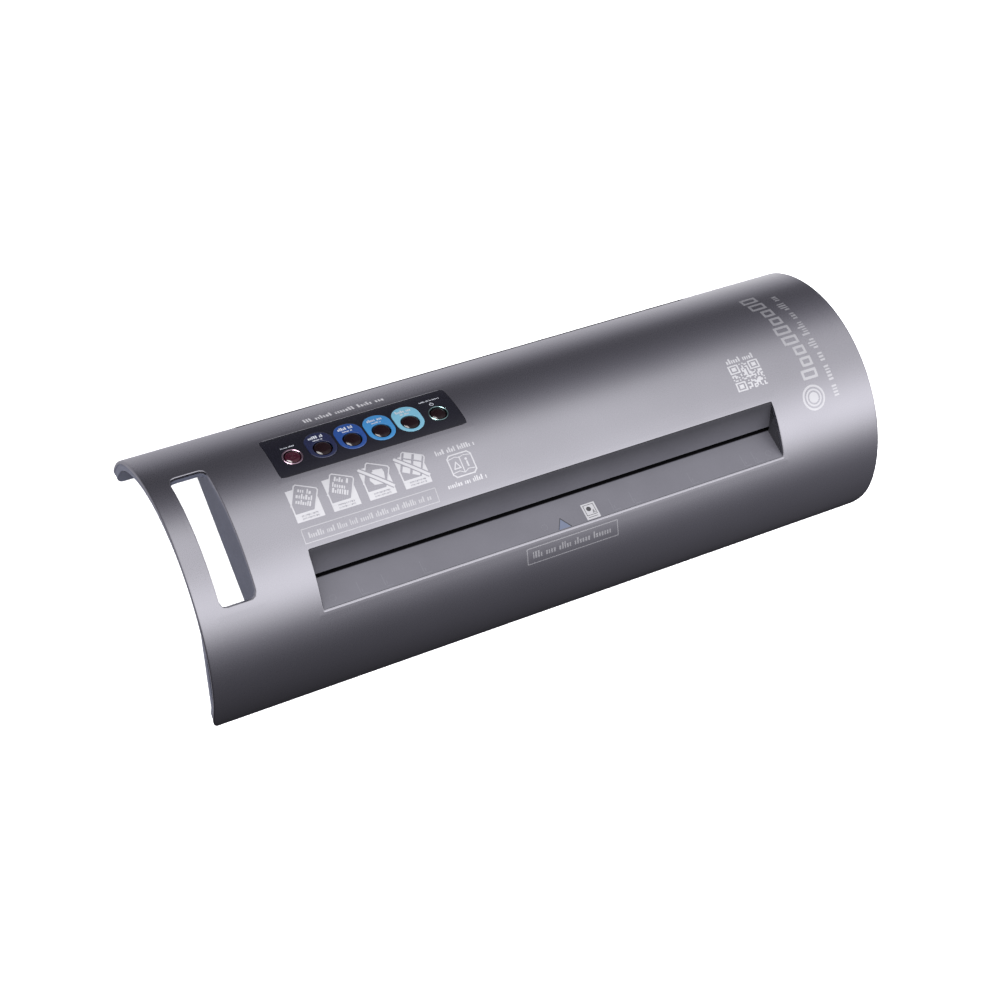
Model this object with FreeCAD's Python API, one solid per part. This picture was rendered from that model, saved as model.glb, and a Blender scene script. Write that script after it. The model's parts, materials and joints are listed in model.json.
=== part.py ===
import FreeCAD, Part
import math
import os

# Pouch laminator for A3 pouches. Millimetres, +Z up, +X along the machine, -Y towards the user.
# The origin is the centre of the footprint, on the table that the rubber feet stand on.
Vec = FreeCAD.Vector

# ---- driving dimensions: outer arch ----
length = 505.0
wall = 3.0
crest_radius = 95.0
crest_half_angle = 60.4      # the crest arc reaches this far from vertical, each way
leg_radius = 61.25
foot_angle = 101.7           # where the legs end, measured from vertical
cover_gap = 2.0              # cover edge above the table
front_corner = (11.0, 32.0)  # each end's lower front corner is a quarter ellipse: along X, upwards
rear_corner = (4.0, 8.0)
end_rib_depth = 7.0          # the thickened rim inside each end of the arch, from the outer face
end_rib_wide = 3.4
end_rib_setback = 0.6
fit_gap = 0.15               # between fixed parts that meet
run_gap = 0.3                # between parts that move past each other

x_left = -length / 2
x_right = length / 2
leg_centre_y = (crest_radius - leg_radius) * math.sin(math.radians(crest_half_angle))
leg_rise = (crest_radius - leg_radius) * math.cos(math.radians(crest_half_angle))
crest_z = cover_gap - leg_rise - leg_radius * math.cos(math.radians(foot_angle))
leg_centre_z = crest_z + leg_rise

# ---- driving dimensions: openings in the cover ----
feed_x0 = -174.7
feed_x1 = 171.2
feed_front_y = -53.9
feed_back_y = -18.3
exit_z0 = 31.0
exit_z1 = 41.0
grip_x0 = -237.5
grip_x1 = -213.5
grip_a0 = -22.1              # degrees from vertical, front end of the finger slot
grip_a1 = 34.8
grip_depth = 5.0             # turned-in rim of the finger slot
grip_corner = 4.5
panel_x0 = -173.4
panel_x1 = -42.4
panel_a0 = 18.75
panel_a1 = 41.3
panel_corner = 2.0

# ---- driving dimensions: feed path, a straight line that falls to the rear ----
path_angle = 16.0
slot_y = -32.2
slot_z = 71.6
slot_half = 0.75
feed_s = 26.0                # distances along the path from the slot
press_s = 62.0
heat_s = 44.0

# ---- driving dimensions: rollers and gears ----
sleeve_radius = 8.0
core_radius = 5.0
journal_radius = 3.0
nip_half = 0.2
module = 1.0
roller_teeth = 16
idler_teeth = 24
pinion_teeth = 12
gear_opening = 0.15          # centre distances are this much over the pitch radii
gear_width = 6.0

# ---- driving dimensions: chassis ----
body_x0 = -200.5
body_x1 = 243.0
panel_thick = 2.5            # end panels
plate_x0 = -183.75           # outer face of the left side plate
plate_x1 = 180.25            # outer face of the right side plate
plate_thick = 1.5
base_z0 = 3.0
base_floor = 2.5
base_top = 16.0
gear_x0 = plate_x1 + 4.0

# ---- driving dimensions: buttons ----
button_angle = 27.5
button_x = [-159.3, -138.5, -117.9, -97.4, -76.9, -56.6]
button_radius = 6.1
lens_width = 19.0
lens_a0 = 22.35
lens_a1 = 36.95
lens_corner = 9.0
board_h = 86.0               # top of the circuit board, along the button axis from the arch centre


# ---- shape helpers ----
def arch_point(angle, inset):
    """A point of the arch curve moved inwards by inset; angle in degrees from vertical, + to the rear."""
    side = math.copysign(1.0, angle)
    a = math.radians(abs(angle))
    if abs(angle) <= crest_half_angle:
        r = crest_radius - inset
        return Vec(0, side * r * math.sin(a), crest_z + r * math.cos(a))
    y = leg_centre_y + (leg_radius - inset) * math.sin(a)
    return Vec(0, side * y, leg_centre_z + (leg_radius - inset) * math.cos(a))


def arch_edges(inset):
    """Front leg, crest and rear leg arcs, from the front foot to the rear foot."""
    stops = [-foot_angle, -crest_half_angle, crest_half_angle, foot_angle]
    edges = []
    for a, b in zip(stops, stops[1:]):
        points = [arch_point(angle, inset) for angle in (a, (a + b) / 2, b)]
        edges.append(Part.Arc(*points).toShape())
    return edges


def line(a, b):
    return Part.makeLine(a, b)


def extrude(edges, x0, x1):
    """A closed outline in the YZ plane, carried from x0 to x1."""
    face = Part.Face(Part.Wire(Part.__sortEdges__(edges)))
    face.translate(Vec(x0, 0, 0))
    return face.extrude(Vec(x1 - x0, 0, 0))


def polygon(points, x0, x1):
    corners = [Vec(0, y, z) for y, z in points]
    edges = [line(a, b) for a, b in zip(corners, corners[1:] + corners[:1])]
    return extrude(edges, x0, x1)


def shell(inset_out, inset_in, x0, x1):
    outer = arch_edges(inset_out)
    inner = arch_edges(inset_in)
    ends = [line(arch_point(a, inset_out), arch_point(a, inset_in)) for a in (-foot_angle, foot_angle)]
    return extrude(outer + inner + ends, x0, x1)


def under_arch(inset, x0, x1, z0, z1):
    """Everything under the arch curve between two heights."""
    closing = line(arch_point(-foot_angle, inset), arch_point(foot_angle, inset))
    solid = extrude(arch_edges(inset) + [closing], x0, x1)
    return solid.common(box(x0, x1, -200, 200, z0, z1))


def sector(r0, r1, a0, a1, x0, x1, corner=0.0):
    """Part of a ring about the crest's axis, with its four radial edges rounded in plan."""
    def at(r, a):
        return Vec(0, r * math.sin(math.radians(a)), crest_z + r * math.cos(math.radians(a)))
    mid = (a0 + a1) / 2
    edges = [Part.Arc(at(r, a0), at(r, mid), at(r, a1)).toShape() for r in (r0, r1)]
    edges += [line(at(r0, a), at(r1, a)) for a in (a0, a1)]
    solid = extrude(edges, x0, x1)
    if corner:
        radial = [e for e in solid.Edges if e.Curve.TypeId == "Part::GeomLine"
                  and abs(e.tangentAt(e.FirstParameter).x) < 0.5]
        solid = solid.makeFillet(corner, radial)
    return solid


def box(x0, x1, y0, y1, z0, z1):
    return Part.makeBox(x1 - x0, y1 - y0, z1 - z0, Vec(x0, y0, z0))


def rod(radius, x0, x1, y, z):
    """A round bar along X."""
    return Part.makeCylinder(radius, x1 - x0, Vec(x0, y, z), Vec(1, 0, 0))


def post(radius, z0, z1, x, y):
    return Part.makeCylinder(radius, z1 - z0, Vec(x, y, z0))


def join(first, *others):
    solid = first.fuse(list(others)).removeSplitter()
    return solid.Solids[0] if len(solid.Solids) == 1 else solid


def cut(solid, *tools):
    solid = solid.cut(list(tools))
    return solid.Solids[0] if len(solid.Solids) == 1 else solid


def group(solids):
    return Part.makeCompound(solids)


def on_path(s, n):
    """Y and Z of a point s along the feed path from the slot and n above it."""
    a = math.radians(path_angle)
    return (slot_y + s * math.cos(a) + n * math.sin(a), slot_z - s * math.sin(a) + n * math.cos(a))


def path_bar(s0, s1, n0, n1, x0, x1):
    return polygon([on_path(s0, n0), on_path(s1, n0), on_path(s1, n1), on_path(s0, n1)], x0, x1)


def button_place(x, h, t=0.0):
    """A point h out from the arch centre along the button axis, and t along the panel to the rear."""
    a = math.radians(button_angle)
    return Vec(x, h * math.sin(a) + t * math.cos(a), crest_z + h * math.cos(a) - t * math.sin(a))


button_axis = Vec(0, math.sin(math.radians(button_angle)), math.cos(math.radians(button_angle)))


def button_rod(radius, x, h0, h1, t=0.0):
    return Part.makeCylinder(radius, h1 - h0, button_place(x, h0, t), button_axis)


def board_block(x0, x1, t0, t1, h0, h1):
    """A block square to the button axis."""
    corners = [button_place(0, h, t) for t, h in ((t0, h0), (t1, h0), (t1, h1), (t0, h1))]
    return polygon([(c.y, c.z) for c in corners], x0, x1)


parts = {}

# ---- top cover: arched shell with its openings, and six screw posts inside ----
post_x = [-190.5, 0.0, 226.0]
post_y = 77.0
post_radius = 4.0
post_top = 28.0
screw_radius = 1.45
pilot_radius = 1.5

cover = shell(0, wall, x_left, x_right)
grip_rim = sector(crest_radius - grip_depth, crest_radius - wall / 2,
                  grip_a0 - 1.2, grip_a1 + 1.2, grip_x0 - 2, grip_x1 + 2, grip_corner + 2)
end_ribs = [shell(wall / 2, end_rib_depth, x_left + end_rib_setback, x_left + end_rib_setback + end_rib_wide),
            shell(wall / 2, end_rib_depth, x_right - end_rib_setback - end_rib_wide, x_right - end_rib_setback)]
cover = join(cover, grip_rim, *end_ribs)
posts = []
for x in post_x:
    for side in (-1, 1):
        boss = post(post_radius, base_z0 + base_floor + fit_gap, post_top, x, side * post_y)
        web = box(x - 1.2, x + 1.2, min(side * post_y, side * 90), max(side * post_y, side * 90), 17, post_top)
        posts.append(boss.fuse(web.common(under_arch(wall / 2, x - 2, x + 2, 10, 60))))
cover = join(cover, *posts)
cutters = [box(feed_x0, feed_x1, feed_front_y, feed_back_y, 60, 110),
           box(feed_x0, feed_x1, 70, 100, exit_z0, exit_z1),
           sector(crest_radius - 12, crest_radius + 5, grip_a0, grip_a1, grip_x0, grip_x1, grip_corner),
           sector(crest_radius - 12, crest_radius + 5, panel_a0, panel_a1, panel_x0, panel_x1, panel_corner)]
cutters += [post(pilot_radius, 0, 22, x, side * post_y) for x in post_x for side in (-1, 1)]
for x, way in ((x_left, 1), (x_right, -1)):
    for side, (along, up) in ((-1, front_corner), (1, rear_corner)):
        y0, y1 = sorted((0, side * 120))
        centre = Vec(x + way * along, y0, cover_gap + up)
        oval = Part.Ellipse(centre + Vec(0, 0, up), centre + Vec(along, 0, 0), centre)
        core = Part.Face(Part.Wire(oval.toShape())).extrude(Vec(0, 120, 0))
        cutters.append(box(min(x, x + way * along), max(x, x + way * along), y0, y1,
                           cover_gap - 1, cover_gap + up).cut(core))
parts["top_cover"] = cut(cover, *cutters)

# ---- entry guide: the recessed trough, its slot and the chute behind it ----
guide_wall = 2.5
shelf_front = (feed_front_y + 0.1, 75.2)
slot_low = on_path(0, -slot_half)
slot_high = on_path(0, slot_half)
back_top = (feed_back_y - 0.1, crest_z + math.sqrt(crest_radius ** 2 - feed_back_y ** 2))
under = wall + fit_gap
chute_end = 14.0
outline = [(feed_front_y + 0.1, 110), (feed_front_y + 0.1, shelf_front[1] - 2 * guide_wall),
           on_path(1.0, -slot_half - guide_wall), on_path(chute_end, -slot_half - 2),
           on_path(chute_end, slot_half + 2), on_path(6.0, slot_half + 2),
           (feed_back_y + guide_wall, 80), (feed_back_y + guide_wall, 110)]
inside_cover = polygon(outline, feed_x0 - guide_wall, feed_x1 + guide_wall).common(
    under_arch(under, feed_x0 - 10, feed_x1 + 10, 40, 110))
in_window = polygon(outline, feed_x0 + 0.1, feed_x1 - 0.1).common(
    under_arch(0.3, feed_x0, feed_x1, 60, 110)).common(
    box(feed_x0, feed_x1, feed_front_y + 0.1, feed_back_y - 0.1, 40, 110))
flange = sector(crest_radius - under - 2, crest_radius - under, -39.5, -6, feed_x0 - 8, feed_x1 + 8)
trough = polygon([shelf_front, slot_low, slot_high, back_top, (back_top[0], 120), (shelf_front[0], 120)],
                 feed_x0, feed_x1)
trough_front = box(feed_x0, feed_x1, feed_front_y - 20, feed_front_y + 0.1, 79, 120)
passage = path_bar(-0.5, chute_end + 1, -slot_half, slot_half, feed_x0, feed_x1)
parts["entry_guide"] = cut(join(inside_cover, in_window, flange), trough, trough_front, passage)

# ---- exit guide: chute from the press rollers to the rear opening ----
exit_s0 = 76.0
exit_s1 = 125.0
chute = path_bar(exit_s0, exit_s1, -4.6, 4.4, feed_x0 - guide_wall, feed_x1 + guide_wall)
chute = chute.common(under_arch(under, feed_x0 - 10, feed_x1 + 10, 20, 80))
mouth = polygon([on_path(exit_s0 - 1, -1.6), on_path(exit_s1 + 1, -2.6), on_path(exit_s1 + 1, 2.4),
                 on_path(exit_s0 - 1, 2.0)], feed_x0, feed_x1)
parts["exit_guide"] = cut(chute, mouth)

# ---- control panel: curved plate in its window, with lens pockets and button holes ----
plate_depth = 2.6
rim_depth = 4.6
edge_angle = math.degrees(fit_gap / crest_radius)
plate = sector(crest_radius - rim_depth, crest_radius, panel_a0 + edge_angle, panel_a1 - edge_angle,
               panel_x0 + fit_gap, panel_x1 - fit_gap, panel_corner)
lip_angle = math.degrees(3.0 / crest_radius)
lip = sector(crest_radius - rim_depth, crest_radius - under, panel_a0 - lip_angle, panel_a1 + lip_angle,
             panel_x0 - 3, panel_x1 + 3, panel_corner)
well = sector(crest_radius - rim_depth - 1, crest_radius - plate_depth, panel_a0 + 1.2, panel_a1 - 1.2,
              panel_x0 + 1.7, panel_x1 - 1.7, 1.0)
board_screw_spots = [(x, t) for x in (panel_x0 + 4.4, panel_x1 - 4.4) for t in (-9.0, 14.0)]
bosses = [button_rod(2.4, x, board_h, crest_radius - plate_depth - 0.5, t) for x, t in board_screw_spots]
plate = join(cut(join(plate, lip), well), *bosses)
lens_pockets = [sector(crest_radius - 1.0, crest_radius + 1, lens_a0 - 0.06, lens_a1 + 0.06,
                       x - lens_width / 2 - 0.1, x + lens_width / 2 + 0.1, lens_corner) for x in button_x[1:5]]
button_holes = [button_rod(button_radius + run_gap, x, crest_radius - 12, crest_radius + 4) for x in button_x]
board_pilots = [button_rod(1.0, x, board_h - 1, board_h + 4.5, t) for x, t in board_screw_spots]
parts["control_panel"] = cut(plate, *lens_pockets, *button_holes, *board_pilots)

# ---- coloured lenses round the four thickness buttons ----
for number, x in enumerate(button_x[1:5], 1):
    lens = sector(crest_radius - 1.0 + 0.02, crest_radius + 0.15, lens_a0, lens_a1,
                  x - lens_width / 2, x + lens_width / 2, lens_corner)
    hole = button_rod(button_radius + run_gap, x, crest_radius - 12, crest_radius + 4)
    parts[f"setting_lens_{number}"] = cut(lens, hole)

# ---- metal rings let into the panel round the two end buttons ----
end_button_radius = 5.5
rings = []
for x in (button_x[0], button_x[5]):
    ring = button_rod(button_radius + run_gap - 0.02, x, crest_radius - plate_depth + 0.3, crest_radius + 0.45)
    rings.append(cut(ring, button_rod(end_button_radius + run_gap, x, crest_radius - 12, crest_radius + 4)))
parts["button_rings"] = group(rings)

# ---- six sprung buttons: domed cap, collar under the panel, stem into its switch ----
cap_edge_h = crest_radius - 0.1
cap_rise = 1.1
collar_top = 91.75
collar_thick = 0.8
stem_radius = 1.7
switch_top = board_h + 3.0
stem_end = switch_top - 0.4


def button(x, radius):
    ball_radius = (radius ** 2 + cap_rise ** 2) / (2 * cap_rise)
    ball = Part.makeSphere(ball_radius, button_place(x, cap_edge_h + cap_rise - ball_radius))
    cap = button_rod(radius, x, collar_top - collar_thick, cap_edge_h + cap_rise + 1).common(ball)
    collar = button_rod(radius + 1.1, x, collar_top - collar_thick, collar_top)
    stem = button_rod(stem_radius, x, stem_end, collar_top)
    return join(cap, collar, stem)


button_names = ["reverse_button"] + [f"setting_button_{n}" for n in range(1, 5)] + ["power_button"]
for name, x in zip(button_names, button_x):
    end_one = name in ("reverse_button", "power_button")
    parts[name] = button(x, end_button_radius if end_one else button_radius)

# ---- control board with its six switches ----
board_thick = 1.6
board = board_block(panel_x0 + 1.5, panel_x1 - 1.5, -13, 18, board_h - board_thick, board_h)
parts["control_board"] = cut(board, *[button_rod(1.3, x, board_h - 3, board_h + 1, t)
                                      for x, t in board_screw_spots])
switches = []
for x in button_x:
    body = board_block(x - 3.1, x + 3.1, -3.1, 3.1, board_h, switch_top)
    switches.append(cut(body, button_rod(stem_radius + run_gap, x, switch_top - 1.7, switch_top + 1)))
parts["tact_switches"] = group(switches)
parts["board_screws"] = group([join(button_rod(0.95, x, board_h - board_thick, board_h + 4, t),
                                    button_rod(2.0, x, board_h - board_thick - 1.2, board_h - board_thick, t))
                               for x, t in board_screw_spots])

# ---- base tray, its feet and its screws ----
tray_inset = wall + 0.35
tray_x0 = body_x0 + panel_thick
tray_x1 = body_x1 - panel_thick
tray = cut(under_arch(tray_inset, tray_x0, tray_x1, base_z0, base_top),
           under_arch(tray_inset + guide_wall, tray_x0 + guide_wall, tray_x1 - guide_wall,
                      base_z0 + base_floor, base_top + 1))
vents = [box(x - 1.5, x + 1.5, y0, y0 + 34, 0, 10)
         for x in [-150 + 9 * n for n in range(12)] + [60 + 9 * n for n in range(10)] for y0 in (-44, 10)]
foot_spots = [(x, y) for x in (-182.0, 224.0) for y in (-62.0, 62.0)]
plate_screw_spots = [(x, y) for x in (plate_x0 + 8, plate_x1 - 8) for y in (-34.0, 46.0)]
cover_screw_spots = [(x, side * post_y) for x in post_x for side in (-1, 1)]
head_depth = 1.2
tray_holes = [post(3.05, 0, 10, x, y) for x, y in foot_spots]
for x, y in plate_screw_spots + cover_screw_spots:
    tray_holes.append(post(1.7, 0, 10, x, y))
    tray_holes.append(post(3.2, 0, base_z0 + head_depth + 0.1, x, y))
parts["base_tray"] = cut(tray, *vents, *tray_holes)
parts["rubber_feet"] = group([join(post(7.0, 0, base_z0, x, y), post(3.0, base_z0, 7.5, x, y))
                              for x, y in foot_spots])


def base_screw(x, y, top):
    head = post(3.0, base_z0 + 0.1, base_z0 + head_depth + 0.1, x, y)
    return join(head, post(screw_radius, base_z0 + 0.1, top, x, y))


parts["cover_screws"] = group([base_screw(x, y, 20) for x, y in cover_screw_spots])
parts["chassis_screws"] = group([base_screw(x, y, 8.6) for x, y in plate_screw_spots])

# ---- end panels: the left one is seen through the finger slot, the right one holds the inlet ----
end_inset = wall + 0.25
inlet_y = 30.0
inlet_z = 34.0
inlet_wide = 27.0
inlet_high = 20.0
left_panel = under_arch(end_inset, body_x0, body_x0 + panel_thick, base_z0, 200)
right_panel = under_arch(end_inset, body_x1 - panel_thick, body_x1, base_z0, 200)
inlet_hole = box(body_x1 - 10, body_x1 + 5, inlet_y - inlet_wide / 2, inlet_y + inlet_wide / 2,
                 inlet_z - inlet_high / 2, inlet_z + inlet_high / 2)
louvres = [box(body_x1 - 10, body_x1 + 5, -58, -8, z, z + 2.4) for z in (22, 28, 34, 40, 46)]
parts["left_end_panel"] = left_panel
parts["right_end_panel"] = cut(right_panel, inlet_hole, *louvres)

# ---- mains inlet: flanged socket with three blades ----
flange_x = body_x1 + 1.5
inlet = join(box(body_x1 - 18, body_x1, inlet_y - inlet_wide / 2 + 0.1, inlet_y + inlet_wide / 2 - 0.1,
                 inlet_z - inlet_high / 2 + 0.1, inlet_z + inlet_high / 2 - 0.1),
             box(body_x1, flange_x, inlet_y - inlet_wide / 2 - 2, inlet_y + inlet_wide / 2 + 2,
                 inlet_z - inlet_high / 2 - 2, inlet_z + inlet_high / 2 + 2))
socket = polygon([(inlet_y - 12, inlet_z - 8), (inlet_y + 12, inlet_z - 8), (inlet_y + 12, inlet_z + 3.5),
                  (inlet_y + 7.5, inlet_z + 8), (inlet_y - 7.5, inlet_z + 8), (inlet_y - 12, inlet_z + 3.5)],
                 body_x1 - 15, flange_x + 1)
blade_spots = [(inlet_y - 7, inlet_z - 2), (inlet_y + 7, inlet_z - 2), (inlet_y, inlet_z + 2)]
blades = [box(body_x1 - 24, body_x1 - 2, y - 1.0, y + 1.0, z - 2.0, z + 2.0) for y, z in blade_spots]
parts["power_inlet"] = cut(inlet, socket, *blades)
parts["inlet_blades"] = group(blades)

# ---- roller frame: two steel side plates tied by three rods ----
lower_feed = on_path(feed_s, -sleeve_radius - nip_half)
upper_feed = on_path(feed_s, sleeve_radius + nip_half)
lower_press = on_path(press_s, -sleeve_radius - nip_half)
upper_press = on_path(press_s, sleeve_radius + nip_half)
roller_centres = {"lower_feed": lower_feed, "upper_feed": upper_feed,
                  "lower_press": lower_press, "upper_press": upper_press}
roller_pitch = module * roller_teeth / 2
idler_pitch = module * idler_teeth / 2
pinion_pitch = module * pinion_teeth / 2
idler_reach = roller_pitch + idler_pitch + gear_opening
idler_drop = math.sqrt(idler_reach ** 2 - ((press_s - feed_s) / 2) ** 2)
idler_centre = on_path((feed_s + press_s) / 2, -sleeve_radius - nip_half - idler_drop)
pinion_centre = (idler_centre[0], idler_centre[1] - idler_pitch - pinion_pitch - gear_opening)
rod_radius = 3.0
tie_spots = [(-46.0, 24.0), (58.0, 24.0), (-42.0, 52.0)]
plate_outline = [(-44, 7.0), (56, 7.0), (62, 14), (62, 34), (50, 66), (36, 76), (14, 82), (3, 85.5),
                 (-12, 85.5), (-22, 74), (-50, 60), (-52, 14)]
bush_outer = 5.0
bush_reach = 6.0             # length of each bush inside its plate
flange_wide = 14.0
wire_radius = 0.4            # pressure springs
spring_radius = 2.4
spring_turns = 4
spring_pitch = 1.4
spring_seat = bush_outer + wire_radius
tab_thick = 1.2
tab_reach = 7.0


def side_plate(x, inwards):
    """An upright steel plate with a foot that turns inwards under the rollers."""
    plate = polygon(plate_outline, x, x + plate_thick)
    foot_x = sorted((x + plate_thick / 2, x + plate_thick / 2 + inwards * flange_wide))
    inner = x + plate_thick if inwards > 0 else x
    tab_x = sorted((inner, inner + inwards * tab_reach))
    tabs = []
    for y, z in (upper_feed, upper_press):
        tab_z = z + spring_seat + spring_pitch * spring_turns + 1.25 * wire_radius
        tabs.append(box(tab_x[0], tab_x[1], y - 4, y + 4, tab_z, tab_z + tab_thick))
    plate = join(plate, box(foot_x[0], foot_x[1], -44, 56, base_z0 + base_floor, 7.0), *tabs)
    holes = [rod(bush_outer, x - 2, x + 4, y, z) for y, z in roller_centres.values()]
    holes += [rod(1.7, x - 2, x + 4, y, z) for y, z in tie_spots]
    holes += [post(pilot_radius, 0, 10, px, py) for px, py in plate_screw_spots]
    if inwards < 0:
        holes.append(rod(2.0, x - 2, x + 4, *idler_centre))
    return cut(plate, *holes)


parts["left_side_plate"] = side_plate(plate_x0, 1)
parts["right_side_plate"] = side_plate(plate_x1 - plate_thick, -1)
span_x0 = plate_x0 + plate_thick
span_x1 = plate_x1 - plate_thick
parts["tie_rods"] = group([rod(rod_radius, span_x0, span_x1, y, z) for y, z in tie_spots])
tie_screws = []
for y, z in tie_spots:
    tie_screws.append(join(rod(1.65, plate_x0, span_x0, y, z), rod(3.0, plate_x0 - 2, plate_x0, y, z)))
    tie_screws.append(join(rod(1.65, span_x1, plate_x1, y, z), rod(3.0, plate_x1, plate_x1 + 2, y, z)))
parts["tie_rod_screws"] = group(tie_screws)
bushes = []
for y, z in roller_centres.values():
    for x, out in ((plate_x0, -1), (plate_x1, 1)):
        ends = sorted((x - out * (plate_thick + bush_reach), x + out * 1.5))
        collar = sorted((x, x + out * 1.5))
        bush = join(rod(bush_outer, ends[0], ends[1], y, z), rod(bush_outer + 1.5, collar[0], collar[1], y, z))
        bushes.append(cut(bush, rod(journal_radius + 0.05, x - 12, x + 12, y, z)))
parts["roller_bushes"] = group(bushes)

# ---- four rollers: steel core with journals, silicone sleeve ----
sleeve_x0 = feed_x0 + 2
sleeve_x1 = feed_x1 - 2
for name, (y, z) in roller_centres.items():
    core = join(rod(core_radius, sleeve_x0 - 1, sleeve_x1 + 1, y, z),
                rod(journal_radius, plate_x0 - 5, gear_x0 + gear_width + 1, y, z))
    sleeve = cut(rod(sleeve_radius, sleeve_x0, sleeve_x1, y, z), rod(core_radius, sleeve_x0, sleeve_x1, y, z))
    parts[f"{name}_core"] = core
    parts[f"{name}_sleeve"] = sleeve


# ---- gear train: involute spur gears, module 1, 20 degree pressure angle ----
pressure_angle = math.radians(20)
addendum = 1.0
dedendum = 1.25
backlash = 0.06              # taken off each tooth's width at the pitch circle


def involute(angle):
    return math.tan(angle) - angle


def spur_gear(teeth, centre, phase, bore, x0):
    """A gear about X at centre; phase is the direction of one tooth's middle, in radians from +Y to +Z."""
    pitch = module * teeth / 2
    base = pitch * math.cos(pressure_angle)
    tip = pitch + addendum * module
    root = pitch - dedendum * module
    half_tooth = (math.pi / 2 * module - backlash) / 2 / pitch + involute(pressure_angle)
    start = max(base, root)

    def flank(r):
        return half_tooth - involute(math.acos(min(1.0, base / r)))

    def at(r, a):
        return Vec(x0, centre[0] + r * math.cos(a), centre[1] + r * math.sin(a))

    radii = [start + (tip - start) * k / 4 for k in range(5)]
    edges = []
    step = 2 * math.pi / teeth
    for k in range(teeth):
        mid = phase + k * step
        rising = [at(r, mid - flank(r)) for r in radii]
        falling = [at(r, mid + flank(r)) for r in reversed(radii)]
        left_root = at(root, mid - flank(start))
        right_root = at(root, mid + flank(start))
        next_root = at(root, mid + step - flank(start))
        gap_mid = at(root, mid + step / 2)
        for side in (rising, falling):
            curve = Part.BSplineCurve()
            curve.interpolate(side)
            edges.append(curve.toShape())
        edges.append(Part.Arc(rising[-1], at(tip, mid), falling[0]).toShape())
        if start > root + 1e-6:
            edges.append(line(left_root, rising[0]))
            edges.append(line(falling[-1], right_root))
        edges.append(Part.Arc(right_root, gap_mid, next_root).toShape())
    face = Part.Face(Part.Wire(Part.__sortEdges__(edges)))
    gear = face.extrude(Vec(gear_width, 0, 0))
    return cut(gear, rod(bore, x0 - 1, x0 + gear_width + 1, *centre))


def meshed_phase(first, first_pitch, first_phase, second, second_pitch):
    """Direction of one tooth of the second gear, so that it sits in a gap of the first."""
    towards = math.atan2(second[1] - first[1], second[0] - first[0])
    half_step = math.pi * module / 2
    return towards + math.pi + (half_step - (first_phase - towards) * first_pitch) / second_pitch


idler_phase = 0.0
lower_feed_phase = meshed_phase(idler_centre, idler_pitch, idler_phase, lower_feed, roller_pitch)
lower_press_phase = meshed_phase(idler_centre, idler_pitch, idler_phase, lower_press, roller_pitch)
upper_feed_phase = meshed_phase(lower_feed, roller_pitch, lower_feed_phase, upper_feed, roller_pitch)
upper_press_phase = meshed_phase(lower_press, roller_pitch, lower_press_phase, upper_press, roller_pitch)
pinion_phase = meshed_phase(idler_centre, idler_pitch, idler_phase, pinion_centre, pinion_pitch)
roller_phases = {"lower_feed": lower_feed_phase, "upper_feed": upper_feed_phase,
                 "lower_press": lower_press_phase, "upper_press": upper_press_phase}
for name, centre in roller_centres.items():
    parts[f"{name}_gear"] = spur_gear(roller_teeth, centre, roller_phases[name], journal_radius, gear_x0)
axle_radius = 2.0
parts["idler_gear"] = spur_gear(idler_teeth, idler_centre, idler_phase, axle_radius + 0.05, gear_x0)
parts["idler_axle"] = join(rod(axle_radius, span_x1, gear_x0 + gear_width + 2.5, *idler_centre),
                           rod(axle_radius + 1.5, plate_x1, gear_x0 - 0.5, *idler_centre),
                           rod(axle_radius + 1.5, gear_x0 + gear_width + 0.5, gear_x0 + gear_width + 1.5,
                               *idler_centre))

# ---- gear motor on its bracket, outboard of the gears ----
motor_shaft_radius = 2.0
bracket_x = gear_x0 + gear_width + 3.5
bracket_thick = 1.5
motor_x0 = bracket_x + bracket_thick
can_radius = 21.0
can_deep = 20.0
can_centre = (pinion_centre[0] - 2.0, 30.0)
lug_spots = [(can_centre[0] - 29, 30.0), (can_centre[0] + 29, 30.0)]
parts["motor_pinion"] = join(spur_gear(pinion_teeth, pinion_centre, pinion_phase, motor_shaft_radius, gear_x0),
                             rod(motor_shaft_radius, gear_x0, motor_x0 + 4, *pinion_centre))
bracket = polygon([(can_centre[0] - 34, 12), (can_centre[0] + 34, 12), (can_centre[0] + 34, 42),
                   (can_centre[0] + 24, 48), (can_centre[0] - 24, 48), (can_centre[0] - 34, 42)],
                  bracket_x, bracket_x + bracket_thick)
spacer_spots = [(can_centre[0] - 30, 18.0), (can_centre[0] + 30, 18.0)]
bracket_holes = [rod(1.7, bracket_x - 1, bracket_x + 3, y, z) for y, z in spacer_spots + lug_spots]
parts["motor_bracket"] = cut(bracket, rod(6, bracket_x - 1, bracket_x + 3, *pinion_centre),
                             rod(axle_radius + 2.5, bracket_x - 1, bracket_x + 3, *idler_centre), *bracket_holes)
parts["bracket_spacers"] = group([cut(rod(4, plate_x1, bracket_x, y, z), rod(1.7, plate_x1, bracket_x, y, z))
                                  for y, z in spacer_spots])
can = rod(can_radius, motor_x0, motor_x0 + can_deep, *can_centre)
lugs = box(motor_x0, motor_x0 + 1.5, can_centre[0] - 33, can_centre[0] + 33, 26, 34)
parts["gear_motor"] = cut(join(can, lugs),
                          rod(motor_shaft_radius + 0.1, motor_x0 - 1, motor_x0 + 6, *pinion_centre),
                          *[rod(1.7, motor_x0 - 1, motor_x0 + 3, y, z) for y, z in lug_spots])
motor_screws = [join(rod(1.6, bracket_x, motor_x0 + 1.5, y, z), rod(3, motor_x0 + 1.5, motor_x0 + 3.5, y, z))
                for y, z in lug_spots]
motor_screws += [join(rod(1.6, plate_x1, bracket_x + bracket_thick, y, z),
                      rod(3, bracket_x + bracket_thick, bracket_x + bracket_thick + 2, y, z))
                 for y, z in spacer_spots]
parts["motor_screws"] = group(motor_screws)

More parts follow.
